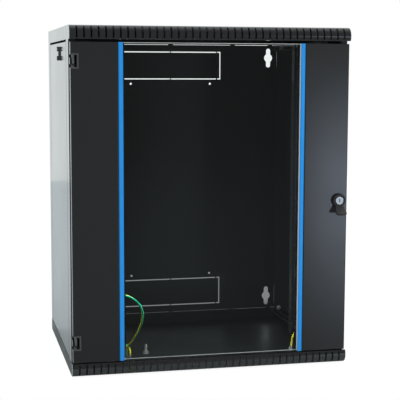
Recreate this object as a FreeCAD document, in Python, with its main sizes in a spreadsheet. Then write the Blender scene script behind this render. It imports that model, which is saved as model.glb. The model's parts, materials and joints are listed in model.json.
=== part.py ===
import FreeCAD, Part
import math
import os
import re
import Sketcher

# Wall-mount 19-inch rack cabinet: a folded steel case with a glass door, millimetres.
# X runs to the right seen from the front, Y runs to the back, Z runs up.
# The origin is the middle of the footprint on the underside.

SIZES = {
    # Case
    "width": 600, "depth": 464, "height": 730, "cap_height": 28.5, "sheet": 1.2,
    "return_width": 12, "nose_radius": 18.5, "nose_lip": 12,
    "slot_edge": 15, "slot_pitch": 15, "slot_width": 3.5, "slot_margin": 2.5,
    "fan_spread": 260, "fan_slots": 9, "fan_pitch": 13, "fan_slot_width": 6, "fan_slot_length": 110,
    # Corner posts
    "post_sheet": 1.5, "post_bend": 1.5, "post_depth": 45, "post_setback": 23, "front_flange": 14,
    "inner_flange": 40, "rear_flange": 12,
    # Rear panel
    "rear_gap": 1, "rear_tab_width": 12, "rear_tab_step": 158, "rear_tab_edge": 44,
    "key_edge": 49, "key_inset": 32, "key_head": 21, "key_slot": 11, "key_length": 47,
    "knockout_width": 254, "knockout_height": 68.5, "knockout_inset": 51.5, "slit": 2.5,
    "bridge": 3, "corner_run": 8, "screw_hole": 5.5, "screw_hole_spread": 200, "screw_hole_inset": 96.5,
    # Rails and brackets: at this width the edges leave the hole spread and opening of a 19-inch rack
    "unit_height": 44.45, "hole_step": 15.875, "hole_size": 9.5, "hole_edge": 67.45,
    "rail_edge": 75, "rail_gap": 3.125, "rail_sheet": 2,
    "rail_setback": 162, "rail_lip": 20, "rail_side": 30,
    "bracket_sheet": 1.5, "bracket_edge": 48.5, "bracket_height": 16, "bracket_inset": 0.5,
    "tab_edge": 15, "tab_bolt_edge": 27.75, "bracket_slot_margin": 25, "bracket_slot_gap": 45,
    "bolt": 6, "bolt_hole": 6.4, "bolt_head": 11, "bolt_head_height": 4, "bolt_grip": 8,
    "nut_height": 5, "nut_across": 11.5,
    # Side panels and their latches
    "panel_sheet": 1, "panel_bend": 2, "panel_depth": 12, "panel_gap": 1, "panel_seat": 0.3,
    "panel_top_gap": 4, "latch_drop": 46, "latch_forward": 48, "latch_pitch": 20,
    "latch_round": 10, "latch_waist": 6.4, "latch_plate": 3,
    "latch_knob": 3, "latch_shaft": 8, "shaft_room": 0.05, "latch_reach": 13.5, "latch_cam": 2.5,
    "latch_cam_width": 8, "latch_cam_length": 24, "coin_slot": 1.6, "coin_depth": 1.5,
    # Door
    "door_sheet": 1.5, "door_bend": 2, "door_gap": 6, "door_foot_gap": 3, "door_thick": 16, "door_inset": 4,
    "door_side": 2, "door_back_inset": 1.5, "door_edge": 98, "door_lip": 13,
    "glass_flange": 14, "glass": 4, "glass_tape": 1, "glass_recess": 8,
    "glass_room": 0.3, "trim_width": 10, "trim_proud": 1, "trim_round": 3,
    # Hinges
    "hinge_inset": 38.5, "lower_hinge_inset": 41.5,
    "hinge_edge": 8, "hinge_depth": 6.5, "hinge_pin": 5.9, "hinge_bore": 6,
    "pocket_width": 17, "pocket_height": 28, "tongue": 3, "tongue_drop": 9, "tongue_half": 5,
    "hinge_leaf": 2, "hinge_leaf_height": 22, "pin_below": 15, "pin_above": 17, "pin_tab": 3,
    "pin_tab_gap": 2, "pin_tab_reach": 4.5, "pocket_flange": 1.6, "pocket_face": 0.8, "cheek": 2,
    "cheek_height": 13.6, "cheek_reach": 4,
    # Lock
    "lock_edge": 21.7, "lock_height": 360.5, "lock_flange": 30, "lock_flange_thick": 2, "lock_barrel": 17,
    "lock_barrel_length": 14, "lock_bore": 10.1, "lock_shaft": 10, "lock_shaft_end": 24.6,
    "handle": 29, "handle_edge": 1.2, "handle_gap": 0.3, "handle_length": 5.7,
    "wing_root": 9.5, "wing_heel": 13, "wing_drop": 28.8, "wing_reach": 20, "wing_tip": 3.5, "wing_lift": 1.5,
    "wing_neck": 18, "wing_width": 26, "wing_corner": 6,
    "plug": 17, "plug_bore": 17.1, "plug_depth": 4.5,
    "plug_proud": 1, "key_slit": 1.6, "key_slit_length": 9, "key_slit_depth": 3, "lock_nut": 24,
    "lock_nut_thick": 4, "nut_room": 0.1,
    "cam_thick": 2.5, "cam_width": 14, "cam_length": 16, "cam_screw": 9, "cam_screw_thick": 3,
    "buffer": 8, "buffer_height": 2.7, "buffer_inset": 66, "buffer_edge": 8,
    # Earth bonding
    "stud": 6, "stud_length": 21, "washer": 14, "washer_thick": 1.5, "lug": 12, "lug_thick": 1.5,
    "lug_hole": 6.2, "lug_barrel": 5.4, "wire": 4.5, "door_stud_edge": 77, "door_stud_height": 167,
    "door_stud_length": 28, "door_lug_reach": 20.25, "door_lug_tongue": 7, "door_lug_run": 14,
    "panel_stud_depth": 110, "panel_stud_length": 18, "panel_stud_height": 78, "panel_lug_reach": 9,
    "panel_lug_drop": 10, "panel_wire_edge": 28, "floor_wire_height": 13,
    "left_stud_edge": 134, "left_stud_depth": 129, "main_stud_edge": 184, "main_stud_depth": 169,
    "right_stud_edge": 84, "right_stud_depth": 130,
    # Room that a cutting shape passes beyond what it cuts, and slack for counting steps and matching places
    "over": 1, "slack": 0.01,
}

doc = FreeCAD.newDocument("rack_cabinet")
sheet = doc.addObject("Spreadsheet::Sheet", "sizes")
for row, (alias, number) in enumerate(SIZES.items(), start=1):
    sheet.set(f"A{row}", alias)
    sheet.set(f"B{row}", str(number))
    sheet.setAlias(f"B{row}", alias)
doc.recompute()

parts = []
cuts = []


# Sizes as expressions

def scoped(text):
    """An expression over sheet aliases, as the document writes it."""
    return re.sub(r"[a-z_]+", lambda word: "sizes." + word[0] if word[0] in SIZES else word[0], str(text))


def value(text):
    return float(sheet.evalExpression(scoped(text)))


def bind(item, prop, text):
    item.setExpression(prop, scoped(text))


def place(item, x, y, z):
    for axis, text in zip("xyz", (x, y, z)):
        bind(item, f"Placement.Base.{axis}", text)


def finish(item, node):
    item.Label = node
    parts.append(item)
    return item


# Bodies: sketches, pads, pockets and patterns

def loose_body(name):
    return doc.addObject("PartDesign::Body", name)


def new_body(node):
    return finish(loose_body(node), node)


def new_sketch(body, name, plane, offset):
    sketch = body.newObject("Sketcher::SketchObject", name)
    origin = [item for item in body.Origin.OriginFeatures if item.Role == plane + "_Plane"][0]
    sketch.AttachmentSupport = [(origin, "")]
    sketch.MapMode = "FlatFace"
    bind(sketch, "AttachmentOffset.Base.z", offset)
    return sketch


def hold(sketch, kind, geometry, point, text):
    number = sketch.addConstraint(Sketcher.Constraint(kind, -1, 1, geometry, point, value(text)))
    bind(sketch, f"Constraints[{number}]", text)


def add_loop(sketch, points):
    """A closed outline of straight lines through points given as expressions."""
    first = sketch.GeometryCount
    corners = [FreeCAD.Vector(value(x), value(y), 0) for x, y in points]
    count = len(points)
    for index, corner in enumerate(corners):
        sketch.addGeometry(Part.LineSegment(corner, corners[(index + 1) % count]))
    for index in range(count):
        following = first + (index + 1) % count
        sketch.addConstraint(Sketcher.Constraint("Coincident", first + index, 2, following, 1))
    for index, (x, y) in enumerate(points):
        hold(sketch, "DistanceX", first + index, 1, x)
        hold(sketch, "DistanceY", first + index, 1, y)


def add_circle(sketch, x, y, diameter):
    centre = FreeCAD.Vector(value(x), value(y), 0)
    circle = sketch.addGeometry(Part.Circle(centre, FreeCAD.Vector(0, 0, 1), value(diameter) / 2))
    hold(sketch, "DistanceX", circle, 3, x)
    hold(sketch, "DistanceY", circle, 3, y)
    number = sketch.addConstraint(Sketcher.Constraint("Diameter", circle, value(diameter)))
    bind(sketch, f"Constraints[{number}]", diameter)


def pad_sketch(body, name, plane, low, high):
    return new_sketch(body, name, plane, f"-({high})" if plane == "XZ" else low)


def pad(body, name, sketch, low, high):
    feature = body.newObject("PartDesign::Pad", name)
    feature.Profile = sketch
    bind(feature, "Length", f"({high}) - ({low})")
    sketch.Visibility = False
    return feature


def pad_outline(body, name, plane, points, low, high):
    sketch = pad_sketch(body, name + "_outline", plane, low, high)
    add_loop(sketch, points)
    return pad(body, name, sketch, low, high)


def pocket(body, name, plane, low, high, loops=(), circles=()):
    """Removes straight-sided loops and circles between two depths along the plane's axis."""
    sketch = new_sketch(body, name + "_outline", plane, f"-({low})" if plane == "XZ" else high)
    for points in loops:
        add_loop(sketch, points)
    for circle in circles:
        add_circle(sketch, *circle)
    feature = body.newObject("PartDesign::Pocket", name)
    feature.Profile = sketch
    bind(feature, "Length", f"({high}) - ({low})")
    cuts.append(feature)
    return feature


def pattern(body, name, feature, axis, length, count):
    row = body.newObject("PartDesign::LinearPattern", name)
    row.Originals = [feature]
    row.Direction = (feature.Profile[0], [axis])
    bind(row, "Length", length)
    bind(row, "Occurrences", count)
    body.Tip = row
    return row


def rectangle(x_low, x_high, y_low, y_high):
    return [(x_low, y_low), (x_high, y_low), (x_high, y_high), (x_low, y_high)]


def near(first, second):
    return abs(first - second) < value("slack")


def upright_at(spots):
    """Chooses the upright edges that stand at the (x, y) spots."""
    places = [(value(x), value(y)) for x, y in spots]

    def chosen(edge):
        bounds = edge.BoundBox
        slim = near(bounds.XLength, 0) and near(bounds.YLength, 0)
        return slim and any(near(bounds.XMin, x) and near(bounds.YMin, y) for x, y in places)

    return chosen


def round_edges(body, name, feature, chosen, radius):
    doc.recompute()
    edges = [f"Edge{i}" for i, edge in enumerate(feature.Shape.Edges, start=1) if chosen(edge)]
    fillet = body.newObject("PartDesign::Fillet", name)
    fillet.Base = (feature, edges)
    bind(fillet, "Radius", radius)
    return fillet


# Solid primitives

TURN = {
    "X": FreeCAD.Rotation(FreeCAD.Vector(0, 1, 0), 90),
    "Y": FreeCAD.Rotation(FreeCAD.Vector(1, 0, 0), -90),
    "Z": FreeCAD.Rotation(),
}


def box(name, x, y, z):
    """A block between (low, high) expressions on each axis."""
    block = doc.addObject("Part::Box", name)
    for prop, (low, high) in zip(("Length", "Width", "Height"), (x, y, z)):
        bind(block, prop, f"({high}) - ({low})")
    place(block, x[0], y[0], z[0])
    return block


def along(item, axis, centre, low):
    """Puts a turned solid on its axis: centre holds the two other coordinates in order."""
    item.Placement = FreeCAD.Placement(FreeCAD.Vector(), TURN[axis])
    spots = list(centre)
    spots.insert("XYZ".index(axis), low)
    place(item, *spots)
    return item


def cylinder(name, axis, centre, diameter, low, high):
    rod = doc.addObject("Part::Cylinder", name)
    bind(rod, "Radius", f"({diameter}) / 2")
    bind(rod, "Height", f"({high}) - ({low})")
    return along(rod, axis, centre, low)


def hexagon(name, axis, centre, across, low, high):
    prism = doc.addObject("Part::Prism", name)
    prism.Polygon = 6
    bind(prism, "Circumradius", f"({across}) / 2")
    bind(prism, "Height", f"({high}) - ({low})")
    return along(prism, axis, centre, low)


def fuse(name, pieces):
    joined = doc.addObject("Part::MultiFuse", name)
    joined.Shapes = pieces
    joined.Refine = True
    return joined


def cut(name, base, tools):
    taken = doc.addObject("Part::Cut", name)
    taken.Base = base
    taken.Tool = tools[0] if len(tools) == 1 else fuse(name + "_tools", tools)
    return taken


def group(node, pieces):
    """Loose solids of one kind in one node."""
    bundle = doc.addObject("Part::Compound", node)
    bundle.Links = pieces
    return finish(bundle, node)


# Places that several pieces share

HALF = "width / 2"
FRONT = "(-depth / 2)"
REAR = "(depth / 2)"
NOSE_Y = f"({FRONT} + nose_radius)"
POST_FRONT = f"({FRONT} + post_setback)"
POST_BACK = f"({POST_FRONT} + post_depth)"
REAR_POST_FRONT = f"({REAR} - post_depth)"
SIDE_MIDDLE = f"(({POST_BACK} + {REAR_POST_FRONT}) / 2)"
LOW_EDGE = "cap_height"
HIGH_EDGE = "(height - cap_height)"
MIDDLE = "(height / 2)"
DOOR_LOW = f"({LOW_EDGE} + door_foot_gap)"
DOOR_HIGH = f"({HIGH_EDGE} - door_gap)"
DOOR_FRONT = f"({FRONT} + door_inset)"
DOOR_BACK = f"({DOOR_FRONT} + door_thick)"
STILE_EDGE = f"({HALF} - door_side)"
GLASS_EDGE = f"({STILE_EDGE} - door_edge)"
GLASS_FRONT = f"({DOOR_FRONT} + glass_recess)"
GLASS_BACK = f"({GLASS_FRONT} + glass)"
FLANGE_FRONT = f"({GLASS_BACK} + glass_tape)"
FLANGE_BACK = f"({FLANGE_FRONT} + door_sheet)"
FLANGE_EDGE = f"({GLASS_EDGE} - glass_flange)"
SLOT_COUNT = "(floor((width - 2 * slot_edge) / slot_pitch + slack) + 1)"
SIDES = (("left", -1), ("right", 1))


def across(side, near, far):
    """A span between two distances from the middle plane, on the side given, sorted along X."""
    return sorted((f"{side} * ({near})", f"{side} * ({far})"), key=value)


# Covers: a folded pan with a rounded, slotted nose along its front

def cover(node, level):
    """level gives a height from a depth below the cover's outer face."""
    body = new_body(node)
    inner = f"({HALF} - sheet)"
    lip = f"({HALF} - return_width)"
    half_section = [
        (HALF, "0"), (HALF, LOW_EDGE), (lip, LOW_EDGE), (lip, "cap_height - sheet"),
        (inner, "cap_height - sheet"), (inner, "sheet"),
    ]
    section = [(x, level(down)) for x, down in half_section]
    section += [(f"-({x})", level(down)) for x, down in reversed(half_section)]
    pad_outline(body, node + "_pan", "XZ", section, NOSE_Y, f"{REAR} - sheet")
    skirt = rectangle(f"-{HALF}", HALF, level("0"), level(LOW_EDGE))
    pad_outline(body, node + "_rear_skirt", "XZ", skirt, f"{REAR} - sheet", REAR)
    return body


def fan_vents(body):
    """Two fields of straight slots under the fan places in the top."""
    start = "-(fan_slots - 1) * fan_pitch / 2"
    fields = []
    for side in (-1, 1):
        middle = f"{side} * fan_spread / 2"
        fields.append(rectangle(f"{middle} - fan_slot_length / 2", f"{middle} + fan_slot_length / 2",
                                f"{start} - fan_slot_width / 2", f"{start} + fan_slot_width / 2"))
    slots = pocket(body, "fan_slot", "XY", "height - sheet - over", "height + over", fields)
    pattern(body, "fan_slots_row", slots, "V_Axis", "(fan_slots - 1) * fan_pitch", "fan_slots")


def nose_arcs(sketch, level, up, radius, drops):
    """Arcs of the nose, end to end, from its tangent with the cover down to each depth in turn."""
    centre = FreeCAD.Vector(value(NOSE_Y), value(level("nose_radius")), 0)
    circle = Part.Circle(centre, FreeCAD.Vector(0, 0, 1), value(radius))
    falls = [math.asin(value(f"(({drop}) - nose_radius) / ({radius})")) for drop in drops]
    turns = [0] + [90 + math.degrees(fall) for fall in falls]
    high, low = (1, 2) if up else (2, 1)
    arcs = []
    for before, after, drop in zip(turns, turns[1:], drops):
        start, end = (90 + before, 90 + after) if up else (270 - after, 270 - before)
        arc = sketch.addGeometry(Part.ArcOfCircle(circle, math.radians(start), math.radians(end)))
        if arcs:
            sketch.addConstraint(Sketcher.Constraint("Coincident", arc, 3, arcs[0], 3))
            sketch.addConstraint(Sketcher.Constraint("Coincident", arc, high, arcs[-1], low))
        else:
            hold(sketch, "DistanceX", arc, 3, NOSE_Y)
            hold(sketch, "DistanceY", arc, 3, level("nose_radius"))
            number = sketch.addConstraint(Sketcher.Constraint("Radius", arc, value(radius)))
            bind(sketch, f"Constraints[{number}]", radius)
            hold(sketch, "DistanceX", arc, high, NOSE_Y)
        hold(sketch, "DistanceY", arc, low, level(drop))
        arcs.append(arc)
    return (arcs[0], high), (arcs[-1], low)


def join_line(sketch, first, second):
    """A straight edge between two points, each a (geometry, point) pair or a pair of expressions."""
    ends = []
    for item in (first, second):
        drawn = isinstance(item[0], int)
        ends.append(sketch.getPoint(*item) if drawn else FreeCAD.Vector(value(item[0]), value(item[1]), 0))
    line = sketch.addGeometry(Part.LineSegment(*ends))
    for number, item in enumerate((first, second), start=1):
        if isinstance(item[0], int):
            sketch.addConstraint(Sketcher.Constraint("Coincident", line, number, *item))
        else:
            hold(sketch, "DistanceX", line, number, item[0])
            hold(sketch, "DistanceY", line, number, item[1])
    return line


def vent_strip(node, level, up):
    """The nose's skin is split where the slots begin and end, so each bar between slots has its own faces."""
    body = new_body(node)
    slot_end = "cap_height - sheet - slot_margin / 2"
    inner_drop = "cap_height - sheet"
    lip_end = f"({FRONT} + nose_lip + sheet)"
    sketch = pad_sketch(body, node + "_section", "YZ", f"-{HALF}", HALF)
    outer_top, outer_low = nose_arcs(sketch, level, up, "nose_radius", ["slot_margin", slot_end, LOW_EDGE])
    inner_top, inner_low = nose_arcs(sketch, level, up, "nose_radius - sheet",
                                     ["slot_margin", slot_end, inner_drop])
    join_line(sketch, outer_top, inner_top)
    lip = join_line(sketch, outer_low, (lip_end, level(LOW_EDGE)))
    edge = join_line(sketch, (lip, 2), (lip_end, level(inner_drop)))
    join_line(sketch, (edge, 2), inner_low)
    features = [pad(body, node + "_shell", sketch, f"-{HALF}", HALF)]
    for side, low, high in (("left", f"-{HALF}", f"-{HALF} + sheet"), ("right", f"{HALF} - sheet", HALF)):
        cheek = pad_sketch(body, f"{node}_{side}_cheek_section", "YZ", low, high)
        top, bottom = nose_arcs(cheek, level, up, "nose_radius", ["slot_margin", slot_end, LOW_EDGE])
        back = join_line(cheek, bottom, (NOSE_Y, level(LOW_EDGE)))
        join_line(cheek, (back, 2), top)
        features.append(pad(body, f"{node}_{side}_cheek", cheek, low, high))
    start = f"-({SLOT_COUNT} - 1) * slot_pitch / 2"
    slot = rectangle(f"{start} - slot_width / 2", f"{start} + slot_width / 2",
                     level("slot_margin"), level(slot_end))
    first = pocket(body, node + "_slot", "XZ", f"{FRONT} - over", f"{NOSE_Y} - sheet", [slot])
    features.append(first)
    run = f"({SLOT_COUNT} - 1) * slot_pitch"
    features.append(pattern(body, node + "_slots", first, "H_Axis", run, SLOT_COUNT))
    for feature in features:
        feature.Refine = False


def from_top(down):
    return f"height - ({down})"


def from_floor(down):
    return f"({down})"


fan_vents(cover("top_cover", from_top))
cover("bottom_cover", from_floor)
vent_strip("top_vent_strip", from_top, True)
vent_strip("bottom_vent_strip", from_floor, False)


# Corner posts: folded channels between the two covers

BRACKET_LEVELS = (
    ("upper", f"({HIGH_EDGE} - bracket_inset - bracket_height / 2)"),
    ("lower", f"({LOW_EDGE} + bracket_inset + bracket_height / 2)"),
)
BRACKET_INNER = f"({HALF} - bracket_edge)"
BRACKET_OUTER = f"({BRACKET_INNER} + bracket_sheet)"
TAB_BOLT_X = f"({HALF} - tab_bolt_edge)"


def post(node, side, outer, inner, flange):
    """outer is the face at the cabinet's front or rear, inner faces the middle of the side."""
    facing = 1 if value(inner) > value(outer) else -1
    step = f"({facing} * post_sheet)"
    section = [
        (HALF, outer), (HALF, inner), (f"{HALF} - inner_flange", inner),
        (f"{HALF} - inner_flange", f"{inner} - {step}"), (f"{HALF} - post_sheet", f"{inner} - {step}"),
        (f"{HALF} - post_sheet", f"{outer} + {step}"), (f"{HALF} - {flange}", f"{outer} + {step}"),
        (f"{HALF} - {flange}", outer),
    ]
    body = new_body(node)
    turned = [(f"{side} * ({x})", y) for x, y in section]
    channel = pad_outline(body, node + "_section", "XY", turned, LOW_EDGE, HIGH_EDGE)
    bends = [(f"{side} * {HALF}", outer), (f"{side} * {HALF}", inner)]
    round_edges(body, node + "_bends", channel, upright_at(bends), "post_bend")
    holes = [(f"{side} * {TAB_BOLT_X}", level, "bolt_hole") for _, level in BRACKET_LEVELS]
    depth = sorted((f"{inner} - {facing} * (post_sheet + over)", f"{inner} + {facing} * over"), key=value)
    pocket(body, node + "_bolt_holes", "XZ", *depth, circles=holes)


for name, side in SIDES:
    post(f"{name}_front_post", side, POST_FRONT, POST_BACK, "front_flange")
    post(f"{name}_rear_post", side, REAR, REAR_POST_FRONT, "rear_flange")


# Rear panel: wall keyholes, two cable knock-outs and the screw holes beside them

REAR_THROUGH = (f"{REAR} - sheet - over", f"{REAR} + over")


def keyhole(x, z):
    reach = "(key_length - key_slot) / 2"
    return [
        cylinder("keyhole_head", "Y", (x, z), "key_head", *REAR_THROUGH),
        box("keyhole_slot", (f"{x} - key_slot / 2", f"{x} + key_slot / 2"), REAR_THROUGH,
            (f"{z} - {reach}", f"{z} + {reach}")),
        cylinder("keyhole_top", "Y", (x, f"{z} + {reach}"), "key_slot", *REAR_THROUGH),
        cylinder("keyhole_foot", "Y", (x, f"{z} - {reach}"), "key_slot", *REAR_THROUGH),
    ]


def knockout(z):
    """The slits round a cable knock-out, with bridges at mid-length and beside the corners."""
    half = "knockout_width / 2"
    slits = []
    for side in (-1, 1):
        ends = sorted((f"{side} * {half}", f"{side} * ({half} - slit)"), key=value)
        slits.append(box("knockout_end", ends, REAR_THROUGH,
                         (f"{z} - knockout_height / 2", f"{z} + knockout_height / 2")))
        for edge in (-1, 1):
            rows = sorted((f"{z} + {edge} * knockout_height / 2",
                           f"{z} + {edge} * (knockout_height / 2 - slit)"), key=value)
            corner = sorted((f"{side} * {half}", f"{side} * ({half} - corner_run)"), key=value)
            run = sorted((f"{side} * ({half} - corner_run - bridge)", f"{side} * bridge / 2"), key=value)
            slits.append(box("knockout_corner", corner, REAR_THROUGH, rows))
            slits.append(box("knockout_run", run, REAR_THROUGH, rows))
    return slits


def rear_panel():
    reach = f"({HALF} - rear_flange - rear_gap)"
    thick = (f"{REAR} - sheet", REAR)
    low, high = f"({LOW_EDGE} + rear_gap)", f"({HIGH_EDGE} - rear_gap)"
    pieces = [box("rear_sheet", (f"-{reach}", reach), thick, (low, high))]
    outermost = f"({HALF} - rear_tab_edge)"
    for x in ("0", "rear_tab_step", "-rear_tab_step", outermost, f"-{outermost}"):
        tab = (f"{x} - rear_tab_width / 2", f"{x} + rear_tab_width / 2")
        pieces.append(box("rear_tab", tab, thick, (LOW_EDGE, HIGH_EDGE)))
    tools = []
    for edge, inward in ((LOW_EDGE, 1), (HIGH_EDGE, -1)):
        tools += knockout(f"({edge} + {inward} * knockout_inset)")
        for side in (-1, 1):
            tools += keyhole(f"({side} * ({HALF} - key_edge))", f"({edge} + {inward} * key_inset)")
            screw = (f"{side} * screw_hole_spread / 2", f"{edge} + {inward} * screw_hole_inset")
            tools.append(cylinder("screw_hole", "Y", screw, "screw_hole", *REAR_THROUGH))
    finish(cut("rear_panel", fuse("rear_blank", pieces), tools), "rear_panel")


rear_panel()


# Rail brackets, 19-inch rails and their bolts

RAIL_FRONT = f"({FRONT} + rail_setback)"
RAIL_INNER = f"({HALF} - rail_edge)"
RAIL_LOW = f"({LOW_EDGE} + rail_gap)"
RAIL_HIGH = f"({HIGH_EDGE} - rail_gap)"
RACK_UNITS = f"floor(({RAIL_HIGH} - {RAIL_LOW}) / unit_height + slack)"
UNITS_LOW = f"({MIDDLE} - {RACK_UNITS} * unit_height / 2)"
RAIL_BOLT_Y = f"({RAIL_FRONT} + rail_side / 2 + rail_sheet / 2)"


def bracket(node, side, level):
    tab = f"({HALF} - tab_edge)"
    front_tab_back = f"({POST_BACK} + bracket_sheet)"
    rear_tab_front = f"({REAR_POST_FRONT} - bracket_sheet)"
    section = [
        (BRACKET_INNER, POST_BACK), (tab, POST_BACK), (tab, front_tab_back), (BRACKET_OUTER, front_tab_back),
        (BRACKET_OUTER, rear_tab_front), (tab, rear_tab_front), (tab, REAR_POST_FRONT),
        (BRACKET_INNER, REAR_POST_FRONT),
    ]
    body = new_body(node)
    turned = [(f"{side} * {x}", y) for x, y in section]
    pad_outline(body, node + "_section", "XY", turned,
                f"{level} - bracket_height / 2", f"{level} + bracket_height / 2")
    low, high = across(side, f"{BRACKET_INNER} - over", f"{BRACKET_OUTER} + over")
    spans = (
        (f"{POST_BACK} + bracket_slot_margin", f"{SIDE_MIDDLE} - bracket_slot_gap / 2"),
        (f"{SIDE_MIDDLE} + bracket_slot_gap / 2", f"{REAR_POST_FRONT} - bracket_slot_margin"),
    )
    slots = [rectangle(*span, f"{level} - bolt_hole / 2", f"{level} + bolt_hole / 2") for span in spans]
    pocket(body, node + "_slots", "YZ", low, high, slots)
    holes = [(f"{side} * {TAB_BOLT_X}", level, "bolt_hole")]
    pocket(body, node + "_front_hole", "XZ", f"{POST_BACK} - over", f"{front_tab_back} + over", circles=holes)
    pocket(body, node + "_rear_hole", "XZ", f"{rear_tab_front} - over", f"{REAR_POST_FRONT} + over",
           circles=holes)


def rail(node, side):
    outer, side_wall, lip_wall = BRACKET_INNER, f"{BRACKET_INNER} - rail_sheet", f"{RAIL_INNER} + rail_sheet"
    face_back, side_back = f"{RAIL_FRONT} + rail_sheet", f"{RAIL_FRONT} + rail_side"
    lip_back = f"{RAIL_FRONT} + rail_lip"
    section = [
        (outer, RAIL_FRONT), (outer, side_back), (side_wall, side_back), (side_wall, face_back),
        (lip_wall, face_back), (lip_wall, lip_back), (RAIL_INNER, lip_back), (RAIL_INNER, RAIL_FRONT),
    ]
    body = new_body(node)
    turned = [(f"{side} * ({x})", y) for x, y in section]
    pad_outline(body, node + "_section", "XY", turned, RAIL_LOW, RAIL_HIGH)
    low, high = across(side, f"{side_wall} - over", f"{outer} + over")
    holes = [(RAIL_BOLT_Y, level, "bolt_hole") for _, level in BRACKET_LEVELS]
    pocket(body, node + "_bolt_holes", "YZ", low, high, circles=holes)
    middle = f"{side} * ({HALF} - hole_edge)"
    squares = []
    for step in (-1, 0, 1):
        height = f"({UNITS_LOW} + unit_height / 2 + {step} * hole_step)"
        squares.append(rectangle(f"{middle} - hole_size / 2", f"{middle} + hole_size / 2",
                                 f"{height} - hole_size / 2", f"{height} + hole_size / 2"))
    unit = pocket(body, node + "_unit_holes", "XZ", f"{RAIL_FRONT} - over", f"{face_back} + over", squares)
    pattern(body, node + "_holes", unit, "V_Axis", f"({RACK_UNITS} - 1) * unit_height", RACK_UNITS)


def bolt(name, axis, centre, seat, facing):
    """A bolt whose head sits on seat; its shank runs the way facing points."""
    head = sorted((seat, f"{seat} - {facing} * bolt_head_height"), key=value)
    shank = sorted((seat, f"{seat} + {facing} * bolt_grip"), key=value)
    return fuse(name, [cylinder(name + "_head", axis, centre, "bolt_head", *head),
                       cylinder(name + "_shank", axis, centre, "bolt", *shank)])


def ring_nut(name, axis, centre, low, high):
    blank = hexagon(name + "_blank", axis, centre, "nut_across", low, high)
    bore = cylinder(name + "_bore", axis, centre, "bolt_hole", f"{low} - over", f"{high} + over")
    return cut(name, blank, [bore])


rail_bolts = []
rail_nuts = []
bracket_bolts = []
for name, side in SIDES:
    rail(f"{name}_rail", side)
    for level_name, level in BRACKET_LEVELS:
        bracket(f"{name}_{level_name}_bracket", side, level)
        seat = f"{side} * ({BRACKET_INNER} - rail_sheet)"
        rail_bolts.append(bolt("rail_bolt", "X", (RAIL_BOLT_Y, level), seat, side))
        nut = across(side, BRACKET_OUTER, f"{BRACKET_OUTER} + nut_height")
        rail_nuts.append(ring_nut("rail_nut", "X", (RAIL_BOLT_Y, level), *nut))
        tabs = ((f"{POST_BACK} + bracket_sheet", -1), (f"{REAR_POST_FRONT} - bracket_sheet", 1))
        for seat, facing in tabs:
            bracket_bolts.append(bolt("bracket_bolt", "Y", (f"{side} * {TAB_BOLT_X}", level), seat, facing))
group("rail_bolts", rail_bolts)
group("rail_nuts", rail_nuts)
group("bracket_bolts", bracket_bolts)


# Side panels: lift-off pans standing on the lower cover, each with a quarter-turn latch

PANEL_LOW = f"({LOW_EDGE} + panel_seat)"
PANEL_HIGH = f"({HIGH_EDGE} - panel_top_gap)"
LATCH_Y = f"({SIDE_MIDDLE} - latch_forward)"
LATCH_Z = "(height - latch_drop)"


def outward(side, low, high):
    """A span measured from the side's outer face, outwards positive, sorted along X."""
    return across(side, f"{HALF} + {low}", f"{HALF} + {high}")


def side_panel(node, side):
    body = new_body(node)
    front, back = f"({POST_BACK} + panel_gap)", f"({REAR_POST_FRONT} - panel_gap)"
    block = pad_outline(body, node + "_block", "YZ", rectangle(front, back, PANEL_LOW, PANEL_HIGH),
                        *outward(side, "-panel_depth", "0"))
    outer_face = value(f"{side} * {HALF}")
    round_edges(body, node + "_bends", block,
                lambda edge: near(edge.BoundBox.XMin, outer_face) and near(edge.BoundBox.XMax, outer_face),
                "panel_bend")
    inside = rectangle(f"{front} + panel_sheet", f"{back} - panel_sheet",
                       f"{PANEL_LOW} + panel_sheet", f"{PANEL_HIGH} - panel_sheet")
    pocket(body, node + "_hollow", "YZ", *outward(side, "-panel_depth", "-panel_sheet"), [inside])
    pocket(body, node + "_latch_hole", "YZ", *outward(side, "-panel_sheet - over", "over"),
           circles=[(LATCH_Y, LATCH_Z, "latch_shaft + 2 * shaft_room")])


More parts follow.
